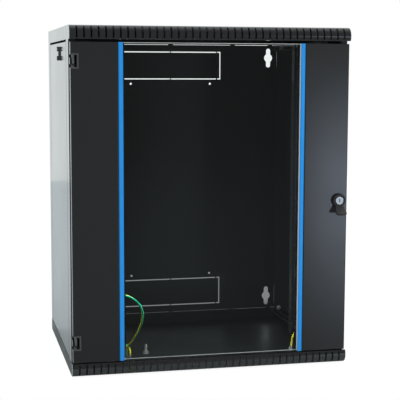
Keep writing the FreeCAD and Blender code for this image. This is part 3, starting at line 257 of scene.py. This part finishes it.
# %% Plated finishes
def plated(name, base, paler, rough, scale, stretch=None, bare=1.0):
    metal = Finish(name)
    clouds = metal.remap(metal.noise(scale, 4), (0.35, 0.7), FULL)
    metal.set(Base_Color=metal.blend(clouds, base, paler), Metallic=bare,
              Roughness=metal.remap(metal.noise(scale * 4, 3, 0.6, stretch), MIDDLE, rough))
    metal.bump(metal.noise(scale * 9, stretch=stretch), 0.05, 0.0002)
    return metal.material


zinc_plate = plated("zinc_plate", (0.52, 0.52, 0.50), (0.66, 0.65, 0.61), (0.26, 0.42), 90, bare=0.6)
dark_zinc = plated("grey_zinc_plate", (0.17, 0.175, 0.18), (0.23, 0.235, 0.24), (0.34, 0.50), 120, bare=0.5)
key_chrome = plated("chrome_plate", (0.58, 0.58, 0.59), (0.72, 0.72, 0.73), (0.18, 0.34), 420, (1, 1, 3))
print("finishes so far", len(bpy.data.materials))

# %% [markdown]
# ## Glass
# The pane is clear toughened glass. Mixing a transparent shader with a glossy one would be quicker to render, but
# the glass shader bends light and shows its thickness. Fingers and cloths leave faint smears, which it shows as
# patches of slight roughness. The ground edge is matt and scatters the light, so it looks pale and nearly opaque.


# %% The pane's glass
def clear_glass(name):
    glass = Finish(name)
    smears = glass.noise(9, 5, 0.6, stretch=(1, 1, 0.35))
    glass.set(Transmission_Weight=1.0, IOR=1.47, Base_Color=(0.90, 0.95, 0.94, 1),
              Roughness=glass.remap(smears, (0.55, 0.85), (0.0, 0.02)))
    return glass.material


pane_glass = clear_glass("clear_glass")
ground_edge = moulded("ground_glass_edge", (0.66, 0.72, 0.70), (0.74, 0.79, 0.77), (0.55, 0.70), 1200)
print("made", pane_glass.name, ground_edge.name)

# %% [markdown]
# ## Finishes on the frame
# Every carried-over solid could be given its finish by name. Most follow from the slot that the record names for
# them, so only the exceptions are listed: the hinge pockets and the side latches are other nylons than the lock,
# the hinge pins a darker zinc than the bolts, and the case's floor is duller than the rest of the case, and darker
# with painted shade.

# %% Dress the frame
FINISH_OF_SLOT = {
    "black_paint": case_paint,
    "trim_blue": trim_plastic,
    "glass": pane_glass,
    "black_plastic": lock_nylon,
    "chrome": key_chrome,
    "zinc": zinc_plate,
    "rubber": seal_rubber,
    "wire": seal_rubber,
}
OWN_FINISH = {
    "bottom_cover": floor_paint_painted_shade,
    "hinge_pockets": hinge_nylon,
    "upper_hinge_pin": dark_zinc,
    "lower_hinge_pin": dark_zinc,
    "left_latch_plate": latch_nylon,
    "right_latch_plate": latch_nylon,
    "left_latch_knob": latch_nylon,
    "right_latch_knob": latch_nylon,
}
for node, solid in frame["nodes"].items():
    if not solid.material_slots:
        solid.data.materials.append(None)
    for place in solid.material_slots:
        place.material = OWN_FINISH.get(node, FINISH_OF_SLOT[slot_of_node[node]])
print("dressed", len(frame["nodes"]), "solids,", len(OWN_FINISH), "with their own finish")

# %% [markdown]
# ## Keeping a piece
# A finished bmesh becomes an object that rides on its body and stands for its solids. Smooth shading everywhere would
# blur real edges, and flat shading would show every facet, so faces that meet at a shallow angle are shaded as one
# surface and other edges stay sharp. A face square to an axis is a true flat, so it keeps its own normal: shared with
# a bevel, it would shade, and refract, like a lens.

# %% Piece helpers
SHARP = math.radians(35)
TRUE_FLAT = 0.9999
body_of_node = {node: body for body, nodes in frame["record"]["behaviour"]["bodies"].items() for node in nodes}


def keep(name, work, finishes, *nodes):
    bmesh.ops.recalc_face_normals(work, faces=work.faces)
    mesh = bpy.data.meshes.new(name)
    work.to_mesh(mesh)
    work.free()
    mesh.shade_smooth()
    mesh.set_sharp_from_angle(angle=SHARP)
    for face in mesh.polygons:
        face.use_smooth = max(abs(part) for part in face.normal) < TRUE_FLAT
    for finish in finishes:
        mesh.materials.append(finish)
    piece = put_in_scene(name, mesh)
    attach(piece, body_of_node[nodes[0]])
    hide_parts(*nodes)
    print(name, "faces", len(mesh.polygons))
    return piece


def block(low, high):
    """A box between two corners, to be bevelled or cut."""
    work = bmesh.new()
    bmesh.ops.create_cube(work, size=1)
    bmesh.ops.scale(work, vec=Vector(high) - Vector(low), verts=work.verts)
    bmesh.ops.translate(work, vec=(Vector(high) + Vector(low)) / 2, verts=work.verts)
    return work


def soften(work, edges, offset, segments):
    bmesh.ops.bevel(work, geom=edges, offset=offset, affect="EDGES", segments=segments, profile=0.5,
                    material=-1)


# %% [markdown]
# ## The pane
# Toughened glass is ground along its edges before it is hardened, because a sharp edge chips. The narrow slope left
# by the grinding draws the bright line at the foot of the glass door. A Bevel modifier could make it, but bevelled
# in the mesh, its faces can be picked by their direction and take the matt finish.

# %% Grind the pane
ARRIS = 0.0015
ARRIS_STEPS = 2
pane = block(*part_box("door_glass"))
soften(pane, pane.edges[:], ARRIS, ARRIS_STEPS)
pane.normal_update()
for face in pane.faces:
    face.material_index = 0 if abs(face.normal.y) > TRUE_FLAT else 1
keep("glass_pane", pane, [pane_glass, ground_edge], "door_glass")

# %% [markdown]
# ## The trim strips
# Two slim plastic strips cover the joint between glass and steel. The front is coloured and rounded, while the flank
# towards the glass is painted pale, a painted highlight for the bright room that it mirrors, so from the left the
# right-hand strip shows a thin light line. The section could be drawn and swept, but a block with two rounded front
# edges is the same shape. The flank's faces take the second finish, the painted highlight.

# %% Round the strips
ROUNDING = 0.003
ROUNDING_STEPS = 5
SIDEWAYS = 0.9
TOUCH = 1e-5
Y, Z = 1, 2


def edges_at(work, axis, level):
    """The edges that lie at a level of one axis and don't run along X."""
    return [edge for edge in work.edges
            if all(abs(vert.co[axis] - level) < TOUCH for vert in edge.verts)
            and abs(edge.verts[0].co.x - edge.verts[1].co.x) < TOUCH]


def trim_strip(node, inward):
    low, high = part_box(node)
    strip = block(low, high)
    soften(strip, edges_at(strip, Y, low[Y]), ROUNDING, ROUNDING_STEPS)
    strip.normal_update()
    for face in strip.faces:
        # Faces towards the glass take the pale flank, a painted highlight.
        face.material_index = 1 if face.normal.x * inward > SIDEWAYS else 0
    keep(node + "_moulding", strip, [trim_plastic, trim_flank_painted_highlight], node)


trim_strip("left_trim_strip", 1)
trim_strip("right_trim_strip", -1)

# %% [markdown]
# ## Stacked rings
# Bolts, nuts, studs and knobs are all turned parts. A profile could be spun round its axis, but a spin makes only
# round shapes. Drawn as a stack of rings, from one end to the other, with every ring bridged to the next, a part can
# be round at one height and six-sided at another, so a nut's flats, its round chamfer and its bore come from one
# short list.

# %% Turned parts
HEX = 6
ROUND = 28
POINTING = {
    "x": Matrix.Rotation(math.pi / 2, 4, "Y"),
    "-x": Matrix.Rotation(-math.pi / 2, 4, "Y"),
    "y": Matrix.Rotation(-math.pi / 2, 4, "X"),
    "-y": Matrix.Rotation(math.pi / 2, 4, "X"),
    "z": Matrix(),
}


def turned(profile, corners=ROUND):
    """Rings of the same number of corners, from (radius, height) pairs."""
    return [(corners, radius, height) for radius, height in profile]


def ring(work, corners, radius, height):
    spin = Matrix.Rotation(math.pi / HEX, 4, "Z") if corners == HEX else Matrix()
    made = bmesh.ops.create_circle(work, cap_ends=False, segments=corners, radius=radius,
                                   matrix=Matrix.Translation((0, 0, height)) @ spin)
    return list({edge for vert in made["verts"] for edge in vert.link_edges})


def stacked(rings, hollow=False):
    """Bridges rings in order, and closes the ends, or joins the last to the first if hollow."""
    work = bmesh.new()
    loops = [ring(work, *values) for values in rings]
    pairs = list(zip(loops, loops[1:]))
    if hollow:
        pairs.append((loops[-1], loops[0]))
    for first, second in pairs:
        bmesh.ops.bridge_loops(work, edges=first + second)
    if not hollow:
        for end in (loops[0], loops[-1]):
            bmesh.ops.edgeloop_fill(work, edges=end)
    return work


def set_out(part, places):
    """Copies a part to each (direction, point), as one bmesh."""
    pattern = bpy.data.meshes.new("pattern")
    part.to_mesh(pattern)
    part.free()
    whole = bmesh.new()
    for direction, point in places:
        copy = pattern.copy()
        copy.transform(Matrix.Translation(point) @ POINTING[direction])
        whole.from_mesh(copy)
        bpy.data.meshes.remove(copy)
    bpy.data.meshes.remove(pattern)
    return whole


print("directions", list(POINTING))

# %% [markdown]
# ## Bolts
# The rails and their brackets are held by socket-head bolts with a low, rounded head. A plain cylinder would do from
# afar, but the socket shows when the door is open. From the point of the shank the rings run up over the head and
# down into the six-sided socket.

# %% Bolts in rails and brackets
BOLT = turned([
    (0.0024, -0.0080), (0.0030, -0.0074), (0.0030, 0.0), (0.0053, 0.0), (0.0055, 0.0003), (0.0055, 0.0018),
    (0.0050, 0.0031), (0.0040, 0.0038), (0.0032, 0.0040),
]) + turned([(0.0023, 0.0040), (0.0022, 0.0016)], HEX)
LEVELS = (0.693, 0.037)
RAIL_Y = -0.054
RAIL_BOLT_X = 0.2495
BRACKET_BOLT_X = 0.27225
BRACKET_ENDS = ((-0.1625, "y"), (0.1855, "-y"))
rail_places = [(inward, (side * RAIL_BOLT_X, RAIL_Y, level))
               for side, inward in ((-1, "x"), (1, "-x")) for level in LEVELS]
keep("rail_screws", set_out(stacked(BOLT), rail_places), [zinc_plate], "rail_bolts")
bracket_places = [(facing, (side * BRACKET_BOLT_X, depth, level))
                  for depth, facing in BRACKET_ENDS for side in (-1, 1) for level in LEVELS]
keep("bracket_screws", set_out(stacked(BOLT), bracket_places), [zinc_plate], "bracket_bolts")

# %% [markdown]
# ## Nuts
# A nut's corners are turned off at both ends, which leaves the round chamfer. Cutting a hexagon with a cone would
# give the same curves with a Boolean. The stack does without one: it goes up the outside, over the top chamfer and
# down the bore.

# %% All the nuts
FLAT_SHARE = 0.855
CHAMFER = 0.0006
RAIL_NUT_X = 0.253
FLOOR_STUDS = ((-0.166, -0.103), (-0.116, -0.063), (0.216, -0.102))
FLOOR_SEATS = (0.0057, 0.0027, 0.0042)
LOCK_X, LOCK_Z = 0.2783, 0.3605


def nut_rings(corner, bore, height):
    flat, mouth = corner * FLAT_SHARE, bore + CHAMFER
    outside = [(ROUND, flat, 0.0), (HEX, corner, CHAMFER), (HEX, corner, height - CHAMFER), (ROUND, flat, height)]
    return outside + turned([(mouth, height), (bore, height - CHAMFER), (bore, CHAMFER), (mouth, 0.0)])


NUT = nut_rings(0.00575, 0.0031, 0.005)
LOCK_NUT = nut_rings(0.012, 0.0086, 0.004)
NUTS = {
    "rail_nuts": [(outward, (side * RAIL_NUT_X, RAIL_Y, level))
                  for side, outward in ((-1, "-x"), (1, "x")) for level in LEVELS],
    "floor_nuts": [("z", (x, y, seat)) for (x, y), seat in zip(FLOOR_STUDS, FLOOR_SEATS)],
    "door_stud_nut": [("y", (-0.221, -0.20475, 0.167))],
    "left_panel_nut": [("x", (-0.2885, -0.122, 0.078))],
    "right_panel_nut": [("-x", (0.2885, -0.122, 0.078))],
    "lock_nut": [("y", (LOCK_X, -0.2265, LOCK_Z))],
}
for node, places in NUTS.items():
    rings = LOCK_NUT if node == "lock_nut" else NUT
    keep(node + "_hex", set_out(stacked(rings, hollow=True), places), [zinc_plate], node)

# %% [markdown]
# ## Studs
# The earth studs are threaded rod welded to the sheet. A true thread is a helix, which a Screw modifier can make. One
# this fine reads as a row of even grooves, so rings of two radii alternate along the rod, and the tip has a small
# lead-in.

# %% Threaded studs
STUD_RADIUS = 0.003
PITCH = 0.001
GROOVE = 0.0005
FLOOR_TOP = 0.0012
STUDS = {
    "floor_studs": (0.021, [("z", (x, y, FLOOR_TOP)) for x, y in FLOOR_STUDS]),
    "door_stud": (0.028, [("y", (-0.221, -0.2265, 0.167))]),
    "left_panel_stud": (0.018, [("x", (-0.299, -0.122, 0.078))]),
    "right_panel_stud": (0.018, [("-x", (0.299, -0.122, 0.078))]),
}


def stud_rings(length):
    profile = [(STUD_RADIUS, 0.0)]
    for turn in range(int(length / PITCH) - 1):
        foot = PITCH * (turn + 0.5)
        profile += [(STUD_RADIUS, foot), (STUD_RADIUS - GROOVE, foot + PITCH / 2)]
    return turned(profile + [(STUD_RADIUS - GROOVE, length)])


for node, (length, places) in STUDS.items():
    keep(node + "_thread", set_out(stacked(stud_rings(length)), places), [zinc_plate], node)

# %% [markdown]
# ## Door buffers
# Two soft domes on the right-hand post catch the door as it closes. Half a sphere would be too steep at its foot, so
# a dome is a stack of rings that close in.

# %% Rubber domes
DOME = turned([
    (0.0040, 0.0), (0.0040, 0.0009), (0.0037, 0.0016), (0.0031, 0.0022), (0.0021, 0.0026), (0.0009, 0.0027),
])
buffer_low, buffer_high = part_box("door_buffers")
buffer_x = (buffer_low[0] + buffer_high[0]) / 2
buffer_radius = (buffer_high[0] - buffer_low[0]) / 2
buffer_levels = (buffer_low[Z] + buffer_radius, buffer_high[Z] - buffer_radius)
buffer_places = [("-y", (buffer_x, buffer_high[Y], level)) for level in buffer_levels]
keep("buffer_domes", set_out(stacked(DOME), buffer_places), [seal_rubber], "door_buffers")

# %% [markdown]
# ## The lock's wing
# The handle has a wing below its disc that sweeps down and out, so fingers fit behind it. It could be sculpted or
# lofted. Here it starts as a block that is widened and thinned towards its tip, gets round corners and soft edges
# from two bevels, and is cut into bands so that it can bow outwards. Each step can be changed by itself.

# %% Wing blade
WING_LONG = 0.0285
WING_ENDS = ((0, 0.0180, 0.0060), (-WING_LONG, 0.0260, 0.0040))  # height, width, thickness
WING_CORNER, CORNER_STEPS = 0.008, 7
WING_RIM, RIM_STEPS = 0.0013, 3
RIM_ANGLE = math.radians(50)
WING_CUTS = 7
WING_BOW = 0.0016
WING_SWEEP = math.atan2(0.0200, 0.0178)


def wing_blade():
    blade = block((-0.5, -0.5, -WING_LONG), (0.5, 0.5, 0))
    for height, width, thickness in WING_ENDS:
        row = [vert for vert in blade.verts if abs(vert.co.z - height) < TOUCH]
        bmesh.ops.scale(blade, vec=(width, thickness, 1), verts=row)
    soften(blade, edges_at(blade, Z, -WING_LONG), WING_CORNER, CORNER_STEPS)
    blade.normal_update()
    rims = [edge for edge in blade.edges if edge.calc_face_angle() > RIM_ANGLE]
    soften(blade, rims, WING_RIM, RIM_STEPS)
    for cut in range(1, WING_CUTS + 1):
        bmesh.ops.bisect_plane(blade, geom=blade.verts[:] + blade.edges[:] + blade.faces[:], dist=1e-6,
                               plane_co=(0, 0, -WING_LONG * cut / (WING_CUTS + 1)), plane_no=(0, 0, 1))
    for vert in blade.verts:
        bow = WING_BOW * math.sin(math.pi * min(1, -vert.co.z / WING_LONG))
        bmesh.ops.translate(blade, vec=(0, bow, 0), verts=[vert])
    bmesh.ops.rotate(blade, cent=(0, 0, 0), matrix=Matrix.Rotation(-WING_SWEEP, 3, "X"), verts=blade.verts)
    return blade


print("wing sweeps out by", round(math.degrees(WING_SWEEP), 1), "degrees")

# %% [markdown]
# ## The lock's handle
# The disc round the key plug and the shaft behind it are one turned part, so they are stacked rings again. The wing
# is moved to its place below the plug and joined to them as one mesh. A Boolean union would cut the two into each
# other for the same look.

# %% Disc, shaft and wing
FINE = 48
DISC = turned([(0.0046, 0.0), (0.0050, 0.0004), (0.0050, 0.0249)]) + turned([
    (0.0143, 0.0249), (0.0145, 0.0252), (0.0145, 0.0294), (0.0141, 0.0302), (0.0133, 0.0306), (0.0096, 0.0306),
    (0.0091, 0.0303), (0.00855, 0.0299), (0.00855, 0.0262),
], FINE)
SHAFT_END_Y = -0.2054
WING_Y = -0.2338
WING_DROP = 0.0105


def lock_lever():
    disc = set_out(stacked(DISC), [("-y", (LOCK_X, SHAFT_END_Y, LOCK_Z))])
    blade = wing_blade()
    bmesh.ops.translate(blade, vec=(LOCK_X, WING_Y, LOCK_Z - WING_DROP), verts=blade.verts)
    joined = bpy.data.meshes.new("blade")
    blade.to_mesh(joined)
    blade.free()
    disc.from_mesh(joined)
    bpy.data.meshes.remove(joined)
    return disc


lever = keep("lock_lever", lock_lever(), [lock_nylon], "lock_handle")
spans = [[vert.co[axis] for vert in lever.data.vertices] for axis in range(3)]
print("lever from", [round(min(span), 4) for span in spans], "to", [round(max(span), 4) for span in spans])

# %% [markdown]
# ## Earth wire
# Protective wires are green with a yellow stripe along them that winds slowly round. An image could carry the stripe.
# The tube's own UV map runs along and around it, so a step across the way round, shifted a little on the way along,
# draws it as sharply at any distance.

# %% The wire's sheath
SHEATH_GREEN = (0.01, 0.62, 0.32)
STRIPE_YELLOW = (0.95, 0.84, 0.04)
HALF_TURN = 0.5
STRIPE_EDGE = (0.24, 0.26)


def striped_sheath(name, twist, turn):
    sheath = Finish(name)
    tube = sheath.axes(sheath.add("ShaderNodeUVMap").outputs["UV"])
    wound = sheath.maths("MULTIPLY_ADD", tube["X"], twist, turn)
    around = sheath.maths("FRACT", sheath.maths("ADD", wound, tube["Y"]))
    stripe = sheath.remap(sheath.maths("PINGPONG", around, HALF_TURN), STRIPE_EDGE, FULL)
    sheath.set(Base_Color=sheath.blend(stripe, SHEATH_GREEN, STRIPE_YELLOW),
               Roughness=sheath.remap(sheath.noise(120, 3), MIDDLE, (0.34, 0.48)))
    sheath.bump(sheath.noise(900), 0.06, 0.0002)
    return sheath.material


print("stripe edge", STRIPE_EDGE, "of the way round")

# %% [markdown]
# ## The earth wires
# Three short wires bond the door and both side panels to studs on the floor of the case. Each is a loose flexible
# lead held by a crimped lug at both ends, so it rises from its lug and bows over. Straight runs with rounded corners
# would look like bent rod. A NURBS curve through the route gives the easy line, and its tube is kept as a mesh.

# %% Hang the wires
WIRE = 0.0045
DOOR_ROUTE = [
    (-0.1710, -0.1120, 0.0130), (-0.1710, -0.1120, 0.0230), (-0.1650, -0.1175, 0.0340),
    (-0.1565, -0.1310, 0.0490), (-0.1495, -0.1460, 0.0685), (-0.1430, -0.1575, 0.0885),
    (-0.1406, -0.1670, 0.1060), (-0.1420, -0.1745, 0.1230), (-0.1485, -0.1800, 0.1380),
    (-0.1610, -0.1865, 0.1520), (-0.1780, -0.1955, 0.1630), (-0.1950, -0.2055, 0.1670),
    (-0.2070, -0.2055, 0.1670),
]
LEFT_ROUTE = [
    (-0.1595, -0.1105, 0.0130), (-0.1595, -0.1105, 0.0210), (-0.1625, -0.1100, 0.0295),
    (-0.1705, -0.1095, 0.0370), (-0.1830, -0.1120, 0.0450), (-0.2010, -0.1160, 0.0535),
    (-0.2240, -0.1200, 0.0620), (-0.2500, -0.1220, 0.0680), (-0.2720, -0.1220, 0.0680),
]
RIGHT_ROUTE = [
    (0.2140, -0.1120, 0.0130), (0.2140, -0.1120, 0.0220), (0.2148, -0.1135, 0.0330),
    (0.2185, -0.1160, 0.0435), (0.2265, -0.1190, 0.0535), (0.2385, -0.1210, 0.0625),
    (0.2540, -0.1220, 0.0680), (0.2720, -0.1220, 0.0680),
]


def earth_wire(name, node, route, twist, turn):
    curve = bpy.data.curves.new(name + "_line", "CURVE")
    curve.dimensions = "3D"
    curve.resolution_u = 6
    spline = curve.splines.new("NURBS")
    spline.points.add(len(route) - 1)
    for point, place in zip(spline.points, route):
        point.co = (*place, 1)
    spline.order_u = 3
    spline.use_endpoint_u = True
    line = put_in_scene(name + "_line", curve)
    path = [tuple(vertex.co) for vertex in bpy.data.meshes.new_from_object(line).vertices]
    curve.bevel_depth = WIRE / 2
    curve.bevel_resolution = 3
    curve.use_fill_caps = True
    bpy.context.view_layer.update()
    graph = bpy.context.evaluated_depsgraph_get()
    tube = bpy.data.meshes.new_from_object(line.evaluated_get(graph))
    bpy.data.objects.remove(line)
    lead = put_in_scene(name, tube)
    tube.materials.clear()
    tube.materials.append(striped_sheath(name + "_sheath", twist, turn))
    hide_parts(node)
    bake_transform(lead)


earth_wire("door_lead", "door_earth_wire", DOOR_ROUTE, twist=0.45, turn=0.46)
earth_wire("left_panel_lead", "left_panel_wire", LEFT_ROUTE, twist=0.8, turn=0.3)
earth_wire("right_panel_lead", "right_panel_wire", RIGHT_ROUTE, twist=0.8, turn=0.3)

# %% [markdown]
# ## The floor
# The cabinet stands on a pale floor that looks white to the eye. A floor lit to white by lamps would also light the
# case from below, so most of its whiteness is shown to the eye alone. It begins just in front of the cabinet, so the
# glass doesn't mirror it. Behind the case a shadow is painted into the glow that is seen through the pane, darkest
# at the foot, so the floor looks grey through the knock-outs and black through the seam below them.

# %% Lay the floor
FLOOR_TINT = (0.72, 0.80, 0.83, 1)
FLOOR_FRONT, FLOOR_BACK, FLOOR_HALF = -0.33, 3.9, 8
FLOOR_DROP = 0.0005
EYE_SHARE = 0.8
EYE_WHITE = 1.15
PAINTED_SHADOW_EDGE = (0.34, 0.46)
PAINTED_SHADOW_GREY = (0.01, 0.24)
ONCE = 0.5  # between no bounce and one


def seen_through(nodes, rays):
    """1 for what the eye sees straight through the pane, 0 for light that has met another surface on its way."""
    met = nodes.maths("ADD", rays["Diffuse Depth"], rays["Glossy Depth"])
    return nodes.maths("MULTIPLY", rays["Is Transmission Ray"], nodes.maths("LESS_THAN", met, ONCE))


def pale_floor(name):
    floor = Finish(name)
    floor.set(Base_Color=FLOOR_TINT, Roughness=0.9, Specular_IOR_Level=0.0)
    rays = floor.add("ShaderNodeLightPath").outputs
    direct = floor.maths("MULTIPLY", rays["Is Camera Ray"], EYE_SHARE)
    behind = seen_through(floor, rays)
    # Painted shadow: the glow seen through the pane fades out towards the foot of the case.
    shadow = floor.remap(floor.axes(floor.place)["Y"], PAINTED_SHADOW_EDGE, PAINTED_SHADOW_GREY)
    strength = floor.maths("ADD", floor.remap(behind, FULL, (EYE_WHITE, 0.0)),
                           floor.maths("MULTIPLY", behind, shadow))
    white = floor.add("ShaderNodeEmission")
    floor.put(white.inputs["Strength"], strength)
    shown = floor.fed("ShaderNodeMixShader", floor.maths("MAXIMUM", direct, behind),
                      floor.shader.outputs["BSDF"], white.outputs["Emission"])
    floor.put(floor.tree.nodes["Material Output"].inputs["Surface"], shown)
    return floor.material


def lay_floor():
    sheet = bmesh.new()
    bmesh.ops.create_grid(sheet, x_segments=1, y_segments=1, size=1)
    bmesh.ops.scale(sheet, vec=(FLOOR_HALF, (FLOOR_BACK - FLOOR_FRONT) / 2, 1), verts=sheet.verts)
    bmesh.ops.translate(sheet, vec=(0, (FLOOR_BACK + FLOOR_FRONT) / 2, -FLOOR_DROP), verts=sheet.verts)
    mesh = bpy.data.meshes.new("studio_floor")
    sheet.to_mesh(mesh)
    sheet.free()
    mesh.materials.append(pale_floor("pale_floor"))
    floor = put_in_scene("studio_floor", mesh)


lay_floor()
print("floor from", FLOOR_FRONT, "to", FLOOR_BACK)

# %% [markdown]
# ## The surround
# A plain white surround, brighter behind the cabinet than in front of it, as in a picture booth: the side of the case
# mirrors the back wall while the door and its glass stay dark. A tall soft box at the right shows as a cool sheen on
# the right-hand stile. Walls and a lit panel could be modelled, but they would stand in the way of other views. In
# the world they are only a strength for each way that a mirrored ray goes, and the eye itself sees plain white.

# %% White surround
WHITE = (1, 1, 1, 1)
ROOM_TINT = (0.94, 1.0, 1.0, 1)
ROOM_DEPTH, ROOM_LIGHT = (-0.75, 0.35), (0.08, 1.0)
BOX_TINT = (0.70, 0.82, 1.0, 1)
BOX_STRENGTH = 3.3
RISING, FALLING = (0, 1), (1, 0)
BOX_RIMS = (
    ("X", (0.296, 0.345), RISING), ("X", (0.40, 0.50), FALLING),
    ("Z", (-0.25, -0.11), RISING), ("Z", (-0.11, 0.02), FALLING),
)
FILL = 0.95
EASED = "SMOOTHSTEP"


def mirrored_in_case(room, rays):
    """1 for a mirror image, also one that leaves the case again through the pane."""
    leaving = room.maths("MULTIPLY", rays["Is Transmission Ray"], rays["Glossy Depth"])
    return room.maths("MAXIMUM", rays["Is Glossy Ray"], room.maths("GREATER_THAN", leaving, ONCE))


def soft_box(room, way):
    """The strength of the box at the right, which fades towards its rims."""
    strength = room.maths("MULTIPLY", room.maths("LESS_THAN", way["Y"], 0.0), BOX_STRENGTH)
    for axis, rim, result in BOX_RIMS:
        strength = room.maths("MULTIPLY", strength, room.remap(way[axis], rim, result, EASED))
    return strength


def surround():
    world = bpy.data.worlds.new("studio")
    bpy.context.scene.world = world
    world.use_nodes = True
    room = Nodes(world.node_tree)
    rays = room.add("ShaderNodeLightPath").outputs
    way = room.axes(room.add("ShaderNodeTexCoord").outputs["Generated"])
    walls = room.fed("ShaderNodeBackground", ROOM_TINT, room.remap(way["Y"], ROOM_DEPTH, ROOM_LIGHT, EASED))
    box = room.fed("ShaderNodeBackground", BOX_TINT, soft_box(room, way))
    mirrored = room.fed("ShaderNodeAddShader", walls, box)
    fill = room.fed("ShaderNodeBackground", WHITE, FILL)
    lit = room.fed("ShaderNodeMixShader", mirrored_in_case(room, rays), fill, mirrored)
    seen = room.maths("MAXIMUM", rays["Is Camera Ray"], seen_through(room, rays))
    plain = room.fed("ShaderNodeBackground", WHITE, 1.0)
    shown = room.fed("ShaderNodeMixShader", seen, lit, plain)
    room.put(world.node_tree.nodes["World Output"].inputs["Surface"], shown)


surround()
print("world", bpy.context.scene.world.name)

# %% [markdown]
# ## The lamps
# A soft key lamp from the right lights the lock and casts its shadow. A lamp's rays don't get through a glass shader,
# so two small lamps stand inside and do what the first would: one over the floor lights the wires, and one at the
# left lights the right-hand rail. Brighter lamps outside would only bleach the case. All are hidden from mirror
# images, and the inner ones from the view through the pane, where they would show as bright bars.

# %% Set up the lamps
LAMP_TINT = (0.92, 0.97, 1.0)


def soft_lamp(name, place, aim, size, watts, inside):
    data = bpy.data.lights.new(name, "AREA")
    data.shape = "RECTANGLE"
    data.size, data.size_y = size
    data.energy = watts
    data.color = LAMP_TINT
    lamp = put_in_scene(name, data)
    lamp.location = place
    lamp.rotation_euler = (Vector(aim) - Vector(place)).to_track_quat("-Z", "Y").to_euler()
    lamp.visible_camera = False
    lamp.visible_glossy = False
    lamp.visible_transmission = not inside


soft_lamp("key_lamp", (0.80, -0.95, 0.38), (0.26, -0.23, 0.36), (0.14, 0.14), 1.2, inside=False)
soft_lamp("inner_lamp", (0.0, -0.205, 0.27), (0.0, -0.10, 0.04), (0.30, 0.03), 1.1, inside=True)
soft_lamp("side_lamp", (-0.20, -0.14, 0.42), (0.27, -0.25, 0.42), (0.04, 0.5), 1.8, inside=True)
print("lamps", len(bpy.data.lights))
